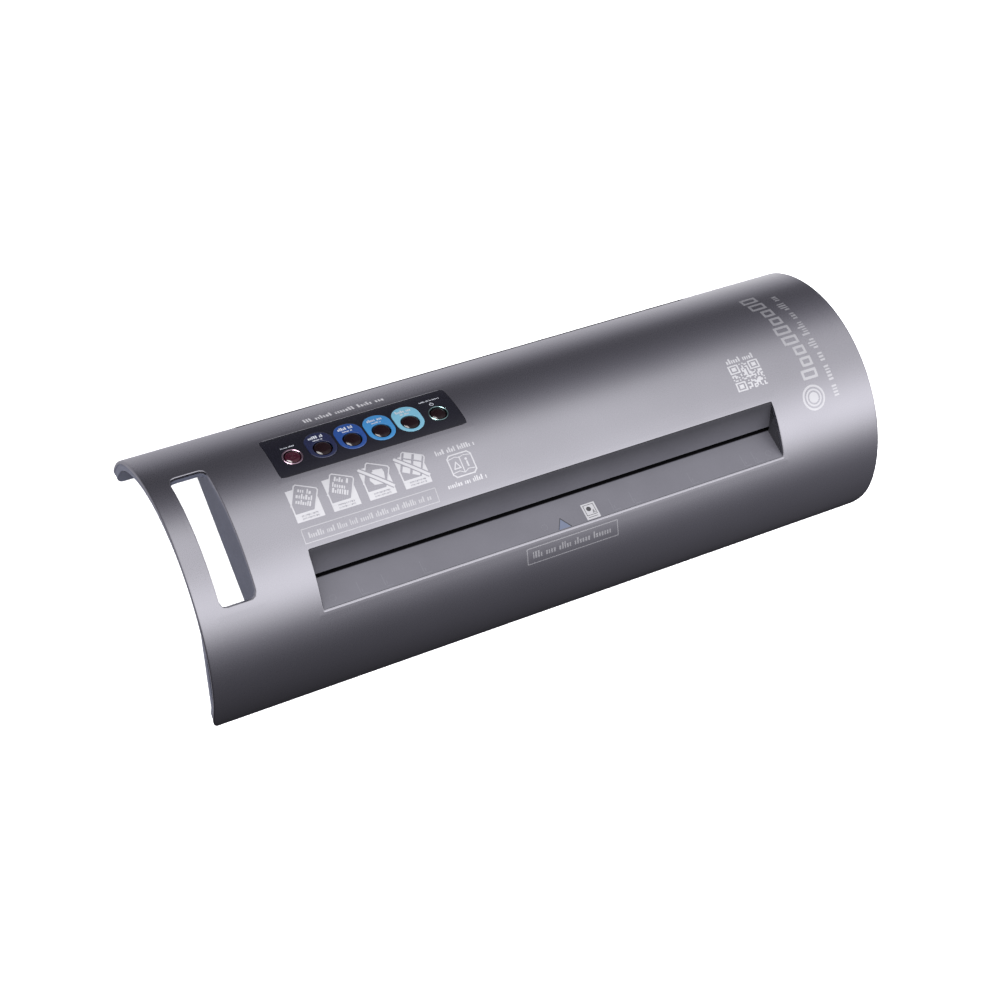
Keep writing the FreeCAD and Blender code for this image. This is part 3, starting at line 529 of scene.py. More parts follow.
def shadeCover():
    # only the outer skin is painted: deeper than 2 mm below it the cover is bare bluish moulding
    tree, shader, axes = reopened("cover_paint")
    side = addMaths(tree, "ABSOLUTE", axes["Y"], 0.0)
    aboveCentre = addMaths(tree, "SUBTRACT", axes["Z"], arch["crestZ"])

    def depthUnder(centreY, centreZ, radius):
        across = addMaths(tree, "SUBTRACT", side, centreY)
        up = addMaths(tree, "SUBTRACT", axes["Z"], centreZ)
        squares = addMaths(tree, "ADD", addMaths(tree, "MULTIPLY", across, across),
                           addMaths(tree, "MULTIPLY", up, up))
        return addMaths(tree, "SUBTRACT", radius, addMaths(tree, "SQRT", squares, 0.0))

    crestDepth = depthUnder(0.0, arch["crestZ"], arch["crestRadius"])
    legDepth = depthUnder(arch["legY"], arch["legZ"], arch["legRadius"])
    past = addMaths(tree, "SUBTRACT", addMaths(tree, "MULTIPLY", side, math.cos(arch["crestHalf"])),
                    addMaths(tree, "MULTIPLY", aboveCentre, math.sin(arch["crestHalf"])))
    onLeg = addMaths(tree, "GREATER_THAN", past, 0.0)
    depth = addMaths(tree, "ADD", addMaths(tree, "MULTIPLY", legDepth, onLeg),
                     addMaths(tree, "MULTIPLY", crestDepth, addMaths(tree, "SUBTRACT", 1.0, onLeg)))
    bare = addRange(tree, depth, 0.0, 1.0, *bareCover["depth"])
    tintColour(tree, shader, addBlend(tree, bare, (1.0, 1.0, 1.0), bareCover["tint"]))
    tree.links.new(addMaths(tree, "SUBTRACT", 1.0, bare), shader.inputs["Metallic"])
    rougher = addMaths(tree, "ADD", shader.inputs["Roughness"].links[0].from_socket,
                       addMaths(tree, "MULTIPLY", bare, bareCover["rougher"]))
    tree.links.new(rougher, shader.inputs["Roughness"])


ringPlating = {"between": (-110.0 * mm, -108.0 * mm), "rosy": (0.62, 0.42, 0.50),
               "greenish": (0.40, 0.58, 0.56)}


def tintRings():
    # the left ring has a rosy plating, the right one a greenish plating
    tree, shader, axes = reopened("ring_metal")
    rightOne = addRange(tree, axes["X"], 0.0, 1.0, *ringPlating["between"])
    tintColour(tree, shader, addBlend(tree, rightOne, ringPlating["rosy"], ringPlating["greenish"]))


paintGuideShade()
shadeCover()
tintRings()
print("materials made:", len(materials))

for entry in frame["record"]["subparts"]:
    node = cadNodes[entry["node"]]
    node.data.materials.clear()
    finish = "guide_dark" if entry["node"] == "exit_guide" else entry["material_slot"]
    node.data.materials.append(materials[finish])

# camera
camera = {"target": (-26.3 * mm, -16.5 * mm, 50.0 * mm), "distance": 1.2428, "azimuth": 63.12,
          "elevation": 64.38, "roll": 42.78, "lens": 67.397, "sensor": 36.0}


def placeCamera():
    azimuth, elevation, roll = (math.radians(camera[k]) for k in ("azimuth", "elevation", "roll"))
    forward = Vector((math.sin(azimuth) * math.cos(elevation), math.cos(azimuth) * math.cos(elevation),
                      -math.sin(elevation)))
    level = Vector((math.cos(azimuth), -math.sin(azimuth), 0))
    upright = level.cross(forward)
    right = math.cos(roll) * level + math.sin(roll) * upright
    up = math.cos(roll) * upright - math.sin(roll) * level
    data = bpy.data.cameras.new("mainCamera")
    data.lens = camera["lens"]
    data.sensor_width = camera["sensor"]
    data.clip_start = 0.05
    holder = bpy.data.objects.new("mainCamera", data)
    bpy.context.scene.collection.objects.link(holder)
    turn = Matrix((right, up, -forward)).transposed().to_4x4()
    holder.matrix_world = Matrix.Translation(Vector(camera["target"]) - camera["distance"] * forward) @ turn
    bpy.context.scene.camera = holder


placeCamera()

# cover
cover = {"halfLength": cadBounds[1][0], "frontCorner": (11.0 * mm, 32.0 * mm),
         "frontCornerRight": (6.5 * mm, 27.0 * mm), "rearCorner": (4.0 * mm, 8.0 * mm), "fillet": 1.1 * mm,
         "step": 4.0 * mm, "feed": (-174.7 * mm, 171.2 * mm, -53.9 * mm, -18.3 * mm),
         "feedRadius": 0.5 * mm, "feedFillet": 0.8 * mm, "feedLip": (1.9 * mm, 0.6 * mm),
         "exitZ": (31.0 * mm, 41.0 * mm), "exitRadius": 0.8 * mm, "exitFillet": 0.2 * mm,
         "grip": (-237.5 * mm, -213.5 * mm, math.radians(-22.1), math.radians(34.8)), "gripRadius": 4.5 * mm,
         "gripDepth": 5.0 * mm, "gripLip": 2.0 * mm, "gripFillet": 0.6 * mm, "gripEdge": 0.3 * mm,
         "window": (-173.4 * mm, -42.4 * mm, math.radians(18.75), math.radians(41.3)),
         "windowRadius": 2.0 * mm, "windowFillet": 0.15 * mm}
# the rib's section as (step in from the end, depth) in mm, and its wide toe at the foot of the rear leg
rib = {"section": [(0.6, 1.5), (0.6, 6.4), (0.8, 6.85), (1.2, 7.0), (3.4, 7.0), (3.85, 6.8),
                   (4.0, 6.4), (4.0, 1.5)],
       "innerFrom": 3.0 * mm, "toeRun": 22.0 * mm, "toeWide": 12.0 * mm, "evenFrom": -50.0 * mm,
       "rightFrom": 16.0 * mm}
post = {"x": (-190.5 * mm, 0.0, 226.0 * mm), "y": 77.0 * mm, "radius": 4.0 * mm, "bore": 1.5 * mm,
        "bottom": 5.65 * mm, "boreTop": 22.0 * mm, "top": 28.0 * mm, "webHalf": 1.2 * mm,
        "webBottom": 17.0 * mm, "webSink": 1.5 * mm, "webRows": 5, "turns": 32}
# the dark frame that stands in for the shade inside the exit opening: its gap, thickness, edge depth and
# corner radius
shadeLining = {"gap": 0.02 * mm, "thick": 0.8 * mm, "edge": 0.12 * mm, "radius": 0.85 * mm}


def endShift(s):
    # how far an end stands back at each run: a quarter ellipse at each of its two lower corners
    shift = np.zeros_like(s)
    for edge, (along, up) in ((-1, cover["frontCorner"]), (1, cover["rearCorner"])):
        below = np.clip(1 - (arch["footRun"] - edge * s) / up, 0, 1)
        shift += along * (1 - np.sqrt(1 - below ** 2))
    return shift


def addRib(parts, way, firstRun, lastRun):
    # the rib's section carried along the arch, standing back where the end does
    foot = arch["footRun"]
    edge = np.linspace(0, math.pi / 2, 14)
    clustered = -foot + cover["frontCorner"][1] * (1 - np.cos(edge))
    s = np.concatenate([clustered, np.linspace(rib["evenFrom"], foot - cover["rearCorner"][1], 60),
                        foot - cover["rearCorner"][1] * (1 - np.sin(edge[1:]))])
    s = s[(s >= firstRun) & (s <= lastRun)]
    step, depth = np.array(rib["section"]).T * mm
    x = way * (cover["halfLength"] - endShift(s)[:, None] - step)
    near = np.clip(1 - (foot - s[:, None]) / rib["toeRun"], 0, 1)
    toe = rib["toeWide"] * near * near * (3 - 2 * near) * (step > rib["innerFrom"])
    closedTube(parts, archPlace(x - way * toe, s[:, None], depth))


def addPosts(parts):
    # a bored screw post under each side of the arch, tied to the leg by a thin web
    bore, radius, half, rows = post["bore"], post["radius"], post["webHalf"], post["webRows"]
    profile = [(bore, post["bottom"]), (radius, post["bottom"]), (radius, post["top"]), (1e-7, post["top"]),
               (1e-7, post["boreTop"]), (bore, post["boreTop"]), (bore, post["bottom"])]
    z = np.linspace(post["webBottom"], post["top"], rows)
    under = arch["legY"] + np.sqrt((arch["legRadius"] - post["webSink"]) ** 2 - (z - arch["legZ"]) ** 2)
    inner = np.full(rows, post["y"])
    for x in post["x"]:
        for side in (-1, 1):
            revolved(parts, (x, side * post["y"], 0), (0, 0, 1), profile, post["turns"])
            corners = [(x - half, inner), (x + half, inner), (x + half, under), (x - half, under)]
            closedTube(parts, np.stack([np.stack([np.full(rows, cx), side * cy, z], -1)
                                        for cx, cy in corners], 1))


def makeCover():
    # the arched shell with its finger slot, window, feed opening and exit opening, its ribs and its posts
    wall = arch["wall"]
    feedX0, feedX1, feedY0, feedY1 = cover["feed"]
    gripX0, gripX1, gripA0, gripA1 = cover["grip"]
    winX0, winX1, winA0, winA1 = cover["window"]
    radius = arch["crestRadius"]
    exitZ0, exitZ1 = cover["exitZ"]
    # the grip slot's rim runs on below the wall, turns outwards as a lip and comes back up to the wall
    lipDepth, lip, edge = cover["gripDepth"], cover["gripLip"], cover["gripEdge"]
    gripProfile = roundedRim(cover["gripFillet"], lipDepth, 4)[:-4]
    gripProfile += [(edge, lipDepth), (lip - edge, lipDepth), (lip, lipDepth - edge), (lip, wall)]
    # the feed opening's front edge is a flat facet, wider than the round of the other three
    facetWide, facetDrop = cover["feedLip"]
    feedProfile = [(step, depth, max(facetWide * (1 - depth / facetDrop) - step, 0.0))
                   for step, depth in roundedRim(cover["feedFillet"], wall, 4)]
    extra = MeshParts()
    foot = arch["footRun"]
    addRib(extra, -1, -foot, foot)
    addRib(extra, 1, -foot + rib["rightFrom"], foot - cover["rearCorner"][1])
    addPosts(extra)
    shell = {
        "rect": (-cover["halfLength"], cover["halfLength"], -foot, foot),
        "radius": [cover["frontCorner"], cover["frontCornerRight"]] + [cover["rearCorner"]] * 2,
        "margin": 12 * mm, "step": cover["step"], "inset": 0.0, "wall": wall, "extra": extra,
        "ringRows": 4, "profile": roundedRim(cover["fillet"], wall, 4), "support": 0.985,
        "holes": [
            {"rect": (gripX0, gripX1, radius * gripA0, radius * gripA1), "radius": cover["gripRadius"],
             "margin": 5 * mm, "profile": gripProfile},
            {"rect": (winX0, winX1, radius * winA0, radius * winA1), "radius": cover["windowRadius"],
             "margin": 4 * mm, "profile": roundedRim(cover["windowFillet"], wall)},
            {"rect": (feedX0, feedX1, runAtY(feedY0), runAtY(feedY1)), "radius": cover["feedRadius"],
             "margin": 4 * mm,
             "innerRect": (feedX0, feedX1, runAtY(feedY0, wall), runAtY(feedY1, wall)),
             "profile": feedProfile},
            {"rect": (feedX0, feedX1, runAtZ(exitZ1), runAtZ(exitZ0)), "radius": cover["exitRadius"],
             "margin": 3 * mm,
             "innerRect": (feedX0, feedX1, runAtZ(exitZ1, wall), runAtZ(exitZ0, wall)),
             "profile": roundedRim(cover["exitFillet"], wall)},
        ]}
    piece = curvedShell("coverShell", shell, materials["cover_paint"])
    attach(piece, "housing")
    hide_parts("top_cover")
    print("cover made:", len(piece.data.polygons), "faces")


def makeExitShadeLining():
    # painted shade: a dark frame just inside the exit opening stands in for the shade inside it; its section
    # runs out, across, in and back, closed on itself
    wall = arch["wall"]
    feedX0, feedX1 = cover["feed"][:2]
    exitZ0, exitZ1 = cover["exitZ"]
    gap, thick, edge = shadeLining["gap"], shadeLining["thick"], shadeLining["edge"]
    fractions = (np.linspace(0, 1, 90), np.linspace(0, 1, 9))
    rows = []
    for shrink, depth in ((gap, edge), (thick, edge), (thick, wall), (gap, wall), (gap, edge)):
        share = depth / wall
        s0, s1 = (runAtZ(z) * (1 - share) + runAtZ(z, wall) * share for z in (exitZ1, exitZ0))
        loop = roundedLoop(grown((feedX0, feedX1, s0, s1), -shrink), shadeLining["radius"] - shrink, fractions)
        rows.append(archPlace(loop[:, 0], loop[:, 1], depth))
    parts = MeshParts()
    parts.grid(np.stack(rows), closed=True)
    piece = parts.build("exitShadeLining", materials["guide_dark"])
    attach(piece, "housing")


makeCover()
makeExitShadeLining()


def makeGuide():
    # the guide with the upper lip of its slot drawn back up the wall, so that the mouth flares open
    mesh = cadNodes["entry_guide"].data.copy()
    points = np.empty(len(mesh.vertices) * 3)
    mesh.vertices.foreach_get("co", points)
    points = points.reshape(-1, 3)
    angle = guide["pathAngle"]
    lip = np.array([guide["slot"][0] + guide["slotHalf"] * math.sin(angle),
                    guide["slot"][1] + guide["slotHalf"] * math.cos(angle)])
    backZ = arch["crestZ"] + math.sqrt(arch["crestRadius"] ** 2 - guide["back"] ** 2)
    back = np.array([guide["back"], backZ])
    upWall = (back - lip) / np.linalg.norm(back - lip)
    atLip = np.linalg.norm(points[:, 1:] - lip, axis=1) < guide["lipNear"]
    points[atLip, 1:] += upWall * guide["lipLift"]
    mesh.vertices.foreach_set("co", points.ravel())
    mesh.update()
    piece = bpy.data.objects.new("feedGuide", mesh)
    bpy.context.scene.collection.objects.link(piece)
    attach(piece, "housing")
    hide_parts("entry_guide")
    print("guide lip vertices moved:", int(atLip.sum()))


makeGuide()

# control panel, lenses, rings and buttons
panel = {"gap": 0.15 * mm, "thick": 2.6 * mm, "fillet": 0.15 * mm, "step": 1.2 * mm,
         "buttonAngle": math.radians(27.5), "holeRadius": 6.4 * mm, "lensGap": 0.1 * mm,
         "lensRuns": (math.radians(22.35), math.radians(36.95)), "lensWidth": 19.0 * mm,
         "lensRadius": 9.0 * mm, "lensRise": 0.15 * mm, "lensThick": 1.1 * mm, "lensHoleFillet": 0.25 * mm,
         "lensFillet": 0.35 * mm}
buttonNames = ["reverse_button"] + [f"setting_button_{n}" for n in range(1, 5)] + ["power_button"]
buttonX = {name: (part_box(name)[0][0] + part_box(name)[1][0]) / 2 for name in buttonNames}
buttonRun = panel["buttonAngle"] * arch["crestRadius"]
buttonAxis = (0.0, math.sin(panel["buttonAngle"]), math.cos(panel["buttonAngle"]))


def circleRect(x, radius):
    # the square round a circle at the buttons' run
    return (x - radius, x + radius, buttonRun - radius, buttonRun + radius)


def makePanel():
    # the gloss plate in the window, with a hole for each key, and the four coloured lenses on it
    radius = arch["crestRadius"]
    winX0, winX1, winA0, winA1 = cover["window"]
    lens0, lens1 = (a * radius for a in panel["lensRuns"])
    holes = []
    for name in buttonNames:
        x = buttonX[name]
        if "setting" in name:
            half = panel["lensWidth"] / 2
            hole = {"rect": grown((x - half, x + half, lens0, lens1), panel["lensGap"]),
                    "radius": panel["lensRadius"], "margin": 0.5 * mm}
        else:
            hole = {"rect": circleRect(x, panel["holeRadius"]), "radius": panel["holeRadius"],
                    "margin": 3 * mm}
        hole["profile"] = roundedRim(panel["fillet"], panel["thick"], 2)
        holes.append(hole)
    shell = {"rect": grown((winX0, winX1, winA0 * radius, winA1 * radius), -panel["gap"]),
             "radius": cover["windowRadius"] - panel["gap"], "margin": 3 * mm, "step": panel["step"],
             "inset": 0.0, "wall": panel["thick"], "ringRows": 2, "holes": holes,
             "profile": roundedRim(panel["fillet"], panel["thick"])}
    piece = curvedShell("panelPlate", shell, materials["panel_gloss"])
    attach(piece, "housing")
    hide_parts("control_panel")
    fractions = (np.linspace(0, 1, 17), np.linspace(0, 1, 17))
    thick = panel["lensThick"]
    for number in range(1, 5):
        # ring plate: up the hole, across the top between hole and outline, down the side, back underneath
        x = buttonX[f"setting_button_{number}"]
        half = panel["lensWidth"] / 2
        rows = []
        for step, depth in roundedRim(panel["lensHoleFillet"], thick)[::-1]:
            holeRadius = panel["holeRadius"] + step
            rows.append((roundedLoop(circleRect(x, holeRadius), holeRadius, fractions), depth))
        outer = []
        for step, depth in roundedRim(panel["lensFillet"], thick, 4):
            rect = grown((x - half, x + half, lens0, lens1), -step)
            outer.append((roundedLoop(rect, panel["lensRadius"] - step, fractions), depth))
        across = [(rows[-1][0] * (1 - f) + outer[0][0] * f, 0.0) for f in (0.25, 0.5, 0.75)]
        loops = rows + across + outer + [rows[0]]
        parts = MeshParts()
        parts.grid(np.stack([archPlace(loop[:, 0], loop[:, 1], depth - panel["lensRise"])
                             for loop, depth in loops]), closed=True)
        piece = parts.build(f"settingLens{number}", materials[f"lens_blue_{number}"])
        weighNormals(piece)
        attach(piece, "housing")
        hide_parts(f"setting_lens_{number}")
    print("panel and lenses made")


makePanel()

# heights are above the arch's centre; a ring is given as inner radius, outer radius and bead
button = {"endRadius": 5.5 * mm, "radius": 6.1 * mm, "edgeHeight": 95.6 * mm, "rise": 0.2 * mm,
          "circleRise": 0.1 * mm, "edgeFillet": 2.4 * mm, "collarTop": 91.75 * mm, "collarThick": 0.8 * mm,
          "collarStep": 1.1 * mm, "stemRadius": 1.7 * mm, "stemEnd": 88.6 * mm, "ringRise": 0.45 * mm,
          "ringSeat": 0.05 * mm, "ringFoot": 0.3 * mm, "ringWall": 0.4 * mm}
rings = {"reverse_button": (5.7 * mm, 6.85 * mm, 0.42 * mm), "power_button": (5.9 * mm, 6.6 * mm, 0.3 * mm)}


def makeButtons():
    # each key is one profile turned about its own axis: crown, shoulder, side, collar and stem
    for name in buttonNames:
        isEnd = "setting" not in name
        radius = button["endRadius"] if isEnd else button["radius"]
        rise = button["rise"]
        fillet = button["edgeFillet"]
        # flat-topped crown with a wide round shoulder; the reversing key's crown has two raised circles
        flat = radius - fillet
        reach = np.linspace(0, flat, 24)
        crown = button["edgeHeight"] + rise * (1 - (reach / flat) ** 2)
        if name == "reverse_button":
            crown += button["circleRise"] * np.cos(reach / flat * 4 * math.pi)
        profile = list(zip(reach, crown))
        shoulder = profile[-1][1]
        turn = np.linspace(0, 1, 8)[1:] * math.pi / 2
        profile += [(flat + fillet * math.sin(a), shoulder - fillet * (1 - math.cos(a))) for a in turn]
        collar = radius + button["collarStep"]
        under = button["collarTop"] - button["collarThick"]
        profile += [(radius, button["collarTop"]), (collar, button["collarTop"]), (collar, under),
                    (button["stemRadius"], under), (button["stemRadius"], button["stemEnd"]),
                    (1e-7, button["stemEnd"])]
        profile[0] = (1e-7, profile[0][1])
        parts = MeshParts()
        revolved(parts, (buttonX[name], 0, arch["crestZ"]), buttonAxis, profile, 72)
        slotName = "button_red" if name == "reverse_button" else "button_black"
        piece = parts.build(name.replace("_b", "B").replace("_", ""), materials[slotName])
        weighNormals(piece)
        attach(piece, name)
        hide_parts(name)
    parts = MeshParts()
    high = arch["crestRadius"] + button["ringRise"]
    seat = arch["crestRadius"] - button["ringSeat"]
    low = arch["crestRadius"] - panel["thick"] + button["ringFoot"]
    turn = np.linspace(0, math.pi / 2, 5)
    for name, (inner, outer, bead) in rings.items():
        profile = [(inner, low)]
        profile += [(inner + bead * (1 - math.cos(a)), high - bead * (1 - math.sin(a))) for a in turn]
        profile += [(outer - bead * (1 - math.sin(a)), high - bead * (1 - math.cos(a))) for a in turn]
        throat = inner + button["ringWall"]
        profile += [(outer, seat), (throat, seat), (throat, low), (inner, low)]
        revolved(parts, (buttonX[name], 0, arch["crestZ"]), buttonAxis, profile, 96)
    piece = parts.build("buttonRings", materials["ring_metal"])
    weighNormals(piece)
    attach(piece, "housing")
    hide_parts("button_rings")
    print("buttons made")


makeButtons()

# printed marks
ink = {"high": 0.03 * mm, "low": -0.04 * mm, "step": 1.3 * mm, "onLens": 0.16 * mm, "gapLift": 0.02 * mm,
       "barLift": 0.04 * mm, "leftEnd": cadBounds[0][0] / mm}


def inkStrip(parts, edgeA, edgeB, lift=0.0):
    # thin printed film between two edges drawn on the unrolled arch, points as (x, run)
    high, low = -ink["high"] - lift, -ink["low"]
    loops = [archPlace(edge[:, 0], edge[:, 1], inset)
             for edge, inset in ((edgeA, high), (edgeB, high), (edgeB, low), (edgeA, low))]
    closedTube(parts, np.stack(loops, 1))


def placed(x, s, turn=0.0):
    # drawing in mm about a point given from the left end and from the crest, turned in degrees
    cos, sin = math.cos(math.radians(turn)), math.sin(math.radians(turn))

    def place(points):
        points = np.asarray(points, float)
        u, v = points[..., 0], points[..., 1]
        return np.stack([ink["leftEnd"] + x + u * cos - v * sin, s + u * sin + v * cos], -1) * mm
    return place


def drawLine(parts, place, points, width, shut=False, lift=0.0):
    # each stretch is a strip of the given width, a little longer than the stretch so that corners fill
    points = [np.array(p, float) for p in points]
    if shut:
        points.append(points[0])
    for a, b in zip(points, points[1:]):
        length = np.linalg.norm(b - a)
        along = (b - a) / length
        across = np.array([-along[1], along[0]]) * width / 2
        count = max(2, math.ceil(length * mm / ink["step"]) + 1)
        t = np.linspace(-width / 2, length + width / 2, count)[:, None]
        inkStrip(parts, place(a + along * t + across), place(a + along * t - across), lift)


def drawArea(parts, place, left, right, lift=0.0):
    # area between two piecewise straight edges whose points climb together, given as (along, up)
    ups = gridLines([p[1] * mm for p in left + right], ink["step"]) / mm
    edges = [np.stack([np.interp(ups, [p[1] for p in edge], [p[0] for p in edge]), ups], -1)
             for edge in (left, right)]
    inkStrip(parts, place(edges[0]), place(edges[1]), lift)


def drawRing(parts, place, radius, width, start=0.0, end=360.0):
    # film between two circles half the width outside and inside the radius, or an arc of it in degrees
    angle = np.radians(np.linspace(start, end, max(12, int(radius * 8))))[:, None]
    spoke = np.concatenate([np.cos(angle), np.sin(angle)], 1)
    inkStrip(parts, place(spoke * (radius + width / 2)), place(spoke * max(radius - width / 2, 0.02)))


def drawTicks(parts, place, length, height, seed, weight=0.2, lift=0.0):
    # a row of upright ticks of uneven height in uneven groups, standing in for a printed line
    chance = np.random.default_rng(seed)
    at = 0.0
    left = chance.integers(3, 8)
    while at < length - height * weight:
        tall = height * chance.choice([0.62, 0.62, 1.0])
        wide = height * weight * chance.uniform(0.8, 1.5)
        drawArea(parts, place, [(at, 0), (at, tall)], [(at + wide, 0), (at + wide, tall)], lift)
        left -= 1
        at += wide + height * (0.17 if left else 0.6)
        left = left or chance.integers(3, 8)


def cardMark(parts, gaps, x, s, kind, seed):
    # an upright card with a second card leaning over it, and a plain strip along its foot
    place = placed(x, s)
    drawArea(parts, place, [(0, 3.9), (0, 5.6)], [(18.5, 3.9), (18.5, 5.6)])
    drawArea(parts, place, [(0, 2.0), (0, 2.7)], [(18.5, 2.0), (18.5, 2.7)])
    drawArea(parts, place, [(0, 0), (0, 0.9)], [(18.5, 0), (18.5, 0.9)])
    for low in (0.9, 2.7):
        drawArea(parts, place, [(0, low), (0, low + 1.15)], [(4.0, low), (4.0, low + 1.15)])
        drawArea(parts, place, [(15.0, low), (15.0, low + 1.15)], [(18.5, low), (18.5, low + 1.15)])
        drawTicks(parts, placed(x + 4.3, s + low), 10.4, 1.15, seed + int(low), 0.35)
    drawArea(parts, place, [(0, 5.6), (0, 22.2)], [(0.9, 5.6), (0.9, 22.2)])
    drawArea(parts, place, [(0.9, 12.9), (0.9, 22.2)], [(0.95, 12.9), (5.6, 22.2)])
    drawArea(parts, place, [(14.2, 5.6), (18.45, 13.4)], [(18.5, 5.6), (18.5, 13.4)])
    leaning = placed(x + 10.6, s + 15.4, -28)
    drawLine(parts, leaning, [(-7.6, -8.4), (-7.6, 6.2), (-6.6, 7.3), (6.4, 7.3), (7.4, 6.2), (7.4, -7.6)],
             0.75)
    if kind == "lines":
        for low, long in ((2.4, 9.6), (-1.8, 11.0), (-5.8, 10.4)):
            startX, startS = leaning([-long / 2, low]) / mm
            row = placed(startX - ink["leftEnd"], startS, -28)
            drawTicks(parts, row, long, 3.3, seed + int(low + 9), 0.27)
    if kind == "shape":
        left = [(-3.0, -5.4), (-5.4, -2.0), (-4.6, 2.0), (-2.0, 4.0)]
        right = [(2.6, -5.4), (4.6, -2.0), (5.2, 2.0), (4.4, 5.0)]
        drawArea(parts, placed(x + 10.4, s + 14.0, -8), left, right)
    if kind == "blocks":
        for column in (-1, 1):
            for row in (-1, 0, 1):
                x0, x1 = column * 3.3 - 2.5, column * 3.3 + 2.5
                y0, y1 = row * 5.2 - 2.1, row * 5.2 + 2.1
                drawArea(parts, leaning, [(x0, y0), (x0, y1)], [(x1, y0), (x1, y1)])
    if kind != "lines":
        drawLine(gaps, place, [(1.6, 20.8), (17.4, 6.0)], 3.5, lift=ink["gapLift"])
        drawLine(parts, place, [(1.0, 21.3), (18.0, 5.3)], 1.9, lift=ink["barLift"])


def codeMark(parts, x, s, width, height):
    # a square of seeded random cells with three framed corners, which encodes nothing
    count = 21
    cells = np.random.default_rng(77).random((count, count)) < 0.5
    frameCells = np.ones((7, 7), bool)
    frameCells[1:6, 1:6] = False
    frameCells[2:5, 2:5] = True
    for row, column in ((0, 0), (14, 0), (14, 14)):
        cells[max(row - 1, 0):row + 8, max(column - 1, 0):column + 8] = False
        cells[row:row + 7, column:column + 7] = frameCells
    place = placed(x, s)
    for row in range(count):
        edges = np.flatnonzero(np.diff(np.concatenate([[0], cells[row], [0]])))
        for start, stop in zip(edges[::2], edges[1::2]):
            a, b = start * width / count, stop * width / count
            low, up = row * height / count, (row + 1) * height / count
            drawArea(parts, place, [(a, low), (a, up)], [(b, low), (b, up)])


# heights of the films on the shelf: straight on it, over the arrow, the sticker, and on the sticker
shelf = {"sink": 0.05 * mm, "film": 0.02 * mm, "overArrow": 0.04 * mm, "sticker": 0.05 * mm,
         "onSticker": 0.08 * mm}


def shelfPlaced(x, along):
    # drawing in mm on the flat shelf: across it, and back from its front edge towards the slot
    angle = guide["pathAngle"]
    front = np.array(guide["front"])
    low = np.array(guide["slot"]) - guide["slotHalf"] * np.array([math.sin(angle), math.cos(angle)])
    back = (low - front) / np.linalg.norm(low - front)
    up = np.array([-back[1], back[0]])

    def place(points, lift):
        points = np.asarray(points, float)
        yz = front + (points[..., 1:] + along) * mm * back + lift * up
        return np.concatenate([(points[..., :1] + x) * mm, yz], -1)
    return place


def shelfPlate(parts, place, outline, high):
    # flat printed plate with the given outline: top and bottom fans joined by its edge
    rows = np.stack([place(outline, -shelf["sink"]), place(outline, high)])
    closedTube(parts, rows)


def shelfLine(parts, place, a, b, width, high):
    # a plate from a to b, longer than the stretch by half its width at each end
    a, b = np.array(a, float), np.array(b, float)
    along = (b - a) / np.linalg.norm(b - a) * width / 2
    across = np.array([-along[1], along[0]])
    outline = [a - along - across, b + along - across, b + along + across, a - along + across]
    shelfPlate(parts, place, outline, high)


def makeShelfMarks():
    # arrow, sticker, the ink on both, and the faint size marks along the shelf
    arrow, sticker, dark, faint = MeshParts(), MeshParts(), MeshParts(), MeshParts()
    place = shelfPlaced(-2.0, 0.6)
    shelfPlate(arrow, place, [(-4.4, 0), (4.6, 0), (-0.2, 7.4)], shelf["film"])
    shelfLine(dark, place, (-4.5, 0.2), (-0.3, 7.4), 0.5, shelf["overArrow"])
    shelfLine(dark, place, (-0.1, 7.4), (4.8, 0.2), 0.75, shelf["overArrow"])
    place = shelfPlaced(15.3, 0.7)
    shelfPlate(sticker, place, [(0, 0), (10.2, 0), (10.2, 11.8), (0, 11.8)], shelf["sticker"])
    turn = np.linspace(0, 2 * math.pi, 20, endpoint=False)
    spot = [(4.4 + 1.7 * math.cos(a), 7.6 + 1.7 * math.sin(a)) for a in turn]
    shelfPlate(dark, place, spot, shelf["onSticker"])
    for a, b in (((1.4, 3.0), (1.4, 10.6)), ((1.4, 10.6), (8.8, 10.6)), ((8.8, 10.6), (8.8, 3.0)),
                 ((1.4, 3.0), (8.8, 3.0)), ((6.4, 4.2), (7.8, 4.2)), ((6.4, 4.2), (7.1, 6.2)),
                 ((7.8, 4.2), (7.1, 6.2)), ((1.8, 1.5), (8.4, 1.5))):
        shelfLine(dark, place, a, b, 0.35, shelf["onSticker"])
    for x in (-168, -148, -131, -104, -17, 36, 52, 98, 141, 150, 160):
        mark = shelfPlaced(x, 1.6)
        if x in (-168, -17, 160):
            for number in range(8):
                a0, a1 = (math.radians(45 * (number + k)) for k in (0, 1))
                shelfLine(faint, mark, (2.2 * math.cos(a0) + 2, 2.2 * math.sin(a0) + 4),
                          (2.2 * math.cos(a1) + 2, 2.2 * math.sin(a1) + 4), 0.4, shelf["film"])
        else:
            shelfLine(faint, mark, (0, 0), (0, 9.0), 0.35, shelf["film"])
            shelfLine(faint, mark, (0, 0), (5.0, 0), 0.35, shelf["film"])
            shelfLine(faint, mark, (1.6, 1.6), (1.6, 3.6), 0.4, shelf["film"])
    finishMarks(arrow, "shelfArrow", "arrow_blue")
    finishMarks(sticker, "shelfSticker", "sticker_white")
    finishMarks(dark, "shelfInk", "black_ink")
    finishMarks(faint, "shelfSizes", "faint_mark")


def finishMarks(parts, name, inkName):
    piece = parts.build(name, materials[inkName], 1e-6)
    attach(piece, "housing")


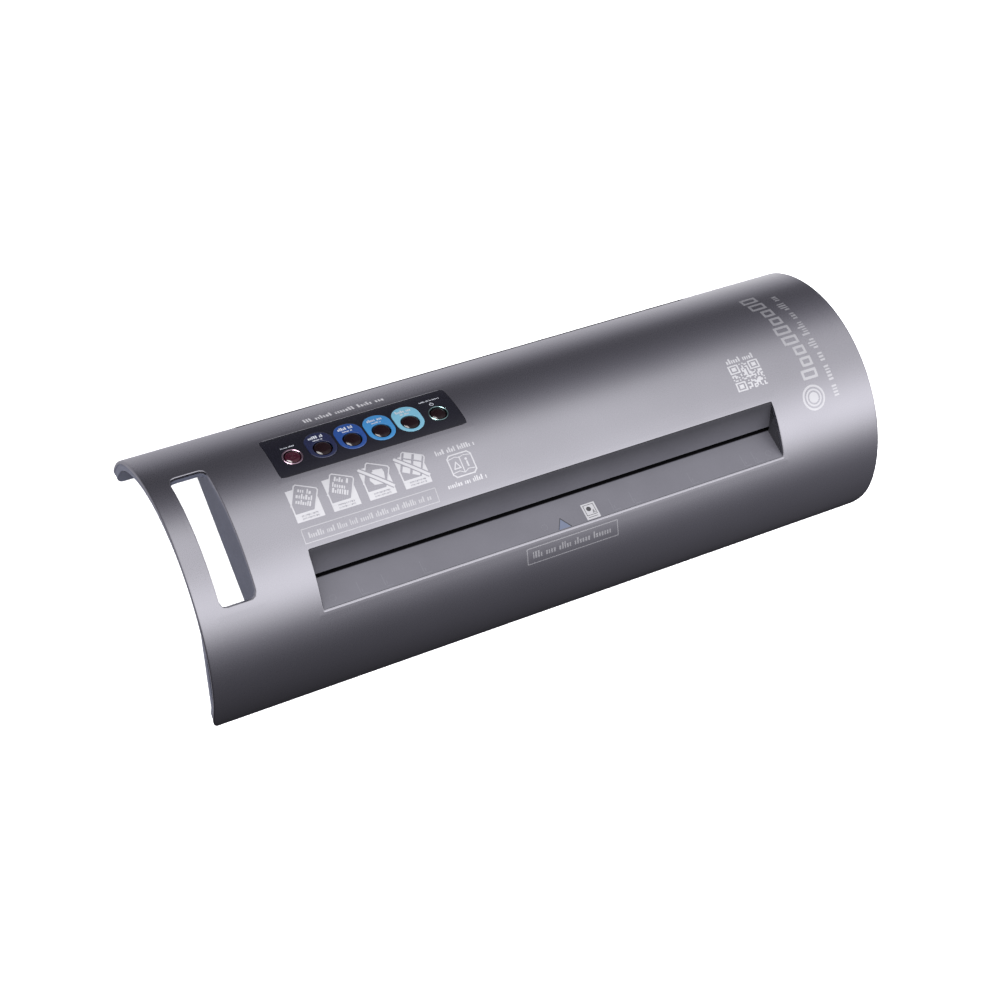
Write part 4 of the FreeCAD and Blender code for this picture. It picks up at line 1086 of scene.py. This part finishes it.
def makeCoverMarks():
    # four cards, an open book, a block of cells and the lines of ticks round them
    parts, gaps = MeshParts(), MeshParts()
    cards = ((77.3, "lines"), (102.0, "lines"), (126.6, "shape"), (151.5, "blocks"))
    for number, (x, kind) in enumerate(cards):
        cardMark(parts, gaps, x, -0.9, kind, 10 * number)
    manual = placed(193.2, 4.3)
    drawLine(parts, manual, [(-6.2, -7.6), (-8.3, -5.4), (-8.3, 5.6), (-6.4, 7.6), (6.4, 7.6), (8.3, 5.6),
                             (8.3, -5.4), (6.2, -7.6)], 0.85, True)
    drawLine(parts, manual, [(-7.8, -4.6), (-3.2, -4.0), (0, -5.8), (3.2, -4.0), (7.8, -4.6)], 0.5)
    drawLine(parts, manual, [(0, -5.4), (0, 5.2)], 0.7)
    drawLine(parts, manual, [(-7.6, 5.0), (-2.8, 5.8), (0, 4.8), (2.8, 5.8), (7.6, 5.0)], 0.5)
    drawLine(parts, manual, [(-5.9, -2.0), (-3.6, 2.4), (-1.5, -2.0)], 0.7, True)
    drawLine(parts, manual, [(3.9, -2.0), (3.9, 0.8)], 1.1)
    drawRing(parts, placed(197.1, 7.0), 0.45, 0.8)
    drawTicks(parts, placed(179.2, 14.3), 29.0, 3.6, 51, 0.24)
    drawTicks(parts, placed(178.4, -9.0), 28.6, 3.4, 52, 0.24)
    codeMark(parts, 401.9, -5.6, 24.2, 19.7)
    drawTicks(parts, placed(403.0, 15.6), 21.5, 4.0, 53, 0.24)
    finishMarks(parts, "coverMarks", "mark_ink")
    finishMarks(gaps, "markGaps", "cover_paint")


def makeSoftMarks():
    # three circles, nine open blocks, a long row of ticks and two framed rows, in a softer ink
    parts = MeshParts()
    emblem = placed(456.8, -24.5)
    drawRing(parts, emblem, 8.3, 1.5)
    drawRing(parts, emblem, 5.6, 1.2)
    drawRing(parts, emblem, 1.9, 3.8)
    for number in range(9):
        start = -11.5 + number * 9.2
        left = 452.6 - 0.11 * max(start, 0)
        tall = 12.6 if number % 4 in (0, 3) else 9.2
        block = placed(left + 13.4 - tall, start)
        drawLine(parts, block, [(1.0, 1.0), (1.0, 6.2), (tall - 1.0, 6.2), (tall - 1.0, 1.0)], 1.9, True)
    drawTicks(parts, placed(477.4, -28.0, 92.5), 92.0, 6.2, 54, 0.17)
    drawLine(parts, placed(77.5, -14.5), [(0, 0), (92.2, 0), (92.2, 9.2), (0, 9.2)], 0.5, True)
    drawTicks(parts, placed(81.0, -11.8), 85.0, 3.7, 55, 0.2)
    drawLine(parts, placed(220.4, -74.2), [(0, 0), (68.4, 0), (68.4, 11.3), (0, 11.3)], 0.6, True)
    drawTicks(parts, placed(224.5, -70.6), 60.0, 4.8, 56, 0.2)
    finishMarks(parts, "coverLines", "mark_ink_soft")
    parts = MeshParts()
    drawTicks(parts, placed(115.0, 75.8), 56.0, 5.0, 57, 0.2)
    finishMarks(parts, "rearLine", "pale_ink")


def makePanelMarks():
    # legends of ticks on the lenses and beside the end keys, and a broken ring with a stroke for power
    parts, fading = MeshParts(), MeshParts()
    for number in range(1, 5):
        # the legends on the two darker lenses are whiter than on the two paler ones
        x = buttonX[f"setting_button_{number}"] / mm - ink["leftEnd"]
        legend = parts if number < 3 else fading
        drawTicks(legend, placed(x - 5.4, 55.4), 10.4, 2.8, 60 + number, 0.22, ink["onLens"])
        drawTicks(legend, placed(x - 3.4, 53.0), 6.8, 1.5, 70 + number, 0.25, ink["onLens"])
    drawTicks(parts, placed(88.9, 54.6), 9.4, 1.3, 65, 0.24)
    drawTicks(parts, placed(188.9, 59.4), 14.4, 1.3, 66, 0.24)
    power = placed(195.9, 55.6)
    drawRing(parts, power, 1.3, 0.35, 120, 420)
    drawLine(parts, power, [(0, 0.3), (0, 1.9)], 0.35)
    finishMarks(parts, "panelMarks", "white_ink")
    finishMarks(fading, "lensMarks", "pale_ink")


makeCoverMarks()
makeSoftMarks()
makePanelMarks()
makeShelfMarks()
print("marks made")

# floor and light
studio = {"floorSize": 8.0, "floorLamp": 1.12, "floorLampSpread": math.radians(60),
          "softbox": (-0.68, 0.10, 0.66), "softboxSize": (0.9, 0.7),
          "softboxAim": (-0.11, 0.044, 0.087), "softboxPower": 110.0}
# tone of the surroundings by angle over the object's long axis, from below in front over the top to below
# behind, each at three leanings along that axis; tones between them are blended
skyTones = [(-180, 0.02, 0.02, 0.02), (-166, 0.03, 0.03, 0.03), (-150, 0.08, 0.11, 0.13),
            (-131, 0.13, 0.19, 0.21), (-112, 0.17, 0.26, 0.29), (-99, 0.20, 0.32, 0.36),
            (-87, 0.22, 0.38, 0.40), (-75, 0.32, 0.64, 0.66), (-63, 0.50, 1.35, 1.35),
            (-50, 1.65, 3.20, 3.10), (-37, 3.30, 4.05, 3.80), (-24, 3.35, 4.00, 3.30),
            (-12, 2.85, 3.40, 2.40), (1, 2.15, 3.20, 1.70), (14, 2.25, 3.00, 1.55),
            (26, 2.35, 3.05, 1.50), (38, 1.80, 2.75, 1.30), (50, 0.75, 1.30, 0.76),
            (63, 0.35, 0.58, 0.45), (75, 0.24, 0.39, 0.31), (88, 0.20, 0.25, 0.22),
            (100, 0.25, 0.26, 0.26), (112, 0.70, 0.76, 1.00), (125, 0.90, 1.06, 1.30),
            (138, 0.85, 1.04, 1.60), (160, 0.70, 0.80, 0.90), (180, 0.30, 0.30, 0.30)]
skyLeanings = (0.27, 0.45, 0.55)


def makeSky(scene):
    # a world whose tone is the table's, read by angle over the long axis and by leaning along it
    world = bpy.data.worlds.new("studioWorld")
    world.use_nodes = True
    tree = world.node_tree
    sky = tree.nodes["Background"]
    place = tree.nodes.new("ShaderNodeTexCoord")
    split = tree.nodes.new("ShaderNodeSeparateXYZ")
    tree.links.new(place.outputs["Generated"], split.inputs["Vector"])
    angle = addMaths(tree, "ARCTAN2", split.outputs["Y"], split.outputs["Z"])
    # the ramp's three channels hold the tones at the three leanings
    ramp = tree.nodes.new("ShaderNodeValToRGB")
    ramp.color_ramp.interpolation = "LINEAR"
    spot = ramp.color_ramp.elements
    top = max(max(tones[1:]) for tones in skyTones)
    for number, (degrees, *tones) in enumerate(skyTones):
        at = (degrees + 180) / 360
        stop = spot[number] if number < 2 else spot.new(at)
        stop.position = at
        stop.color = (*(tone / top for tone in tones), 1)
    tree.links.new(addRange(tree, angle, 0.0, 1.0, -math.pi, math.pi), ramp.inputs["Fac"])
    tones = tree.nodes.new("ShaderNodeSeparateColor")
    tree.links.new(ramp.outputs["Color"], tones.inputs["Color"])
    tone = tones.outputs["Red"]
    for channel, low, high in zip(("Green", "Blue"), skyLeanings, skyLeanings[1:]):
        share = addRange(tree, split.outputs["X"], 0.0, 1.0, low, high)
        rest = addMaths(tree, "SUBTRACT", 1.0, share)
        tone = addMaths(tree, "ADD", addMaths(tree, "MULTIPLY", tone, rest),
                        addMaths(tree, "MULTIPLY", tones.outputs[channel], share))
    # dark surroundings are a little bluer than bright ones
    tint = addBlend(tree, addRange(tree, tone, 0.0, 1.0, 0.0, 0.4), (1.0, 0.97, 1.14), (1.0, 0.99, 1.02))
    scaled = tree.nodes.new("ShaderNodeVectorMath")
    scaled.operation = "SCALE"
    tree.links.new(tint, scaled.inputs[0])
    tree.links.new(tone, scaled.inputs["Scale"])
    tree.links.new(scaled.outputs[0], sky.inputs["Color"])
    sky.inputs["Strength"].default_value = top
    scene.world = world


def makeStudio():
    # a pale floor under its own lamp, the sky, and a soft box for the keys
    scene = bpy.context.scene
    scene.view_settings.view_transform = "Standard"
    makeSky(scene)
    half = studio["floorSize"] / 2
    mesh = bpy.data.meshes.new("studioFloor")
    corners = [(-half, -half, 0), (half, -half, 0), (half, half, 0), (-half, half, 0)]
    mesh.from_pydata(corners, [], [(0, 1, 2, 3)])
    floor = addPiece("studioFloor", mesh, materials["floor_pale"], smooth=False)
    floor.visible_glossy = False
    onFloor = bpy.data.collections.new("onlyFloor")
    onFloor.objects.link(floor)
    data = bpy.data.lights.new("floorLamp", "SUN")
    data.energy = studio["floorLamp"] * math.pi
    data.angle = studio["floorLampSpread"]
    lamp = bpy.data.objects.new("floorLamp", data)
    scene.collection.objects.link(lamp)
    lamp.light_linking.receiver_collection = onFloor
    lamp.light_linking.blocker_collection = onFloor
    # a large soft box low on the left shows only in the gloss of the buttons and their rings
    onButtons = bpy.data.collections.new("onlyButtons")
    for piece in scene.objects:
        if "Button" in piece.name or piece.name == "buttonRings":
            onButtons.objects.link(piece)
    data = bpy.data.lights.new("softbox", "AREA")
    data.shape = "RECTANGLE"
    data.size, data.size_y = studio["softboxSize"]
    data.energy = studio["softboxPower"]
    box = bpy.data.objects.new("softbox", data)
    scene.collection.objects.link(box)
    facing = (Vector(studio["softboxAim"]) - Vector(studio["softbox"])).to_track_quat("-Z", "Y")
    box.matrix_world = Matrix.Translation(studio["softbox"]) @ facing.to_matrix().to_4x4()
    box.visible_camera = False
    box.visible_diffuse = False
    box.light_linking.receiver_collection = onButtons


makeStudio()
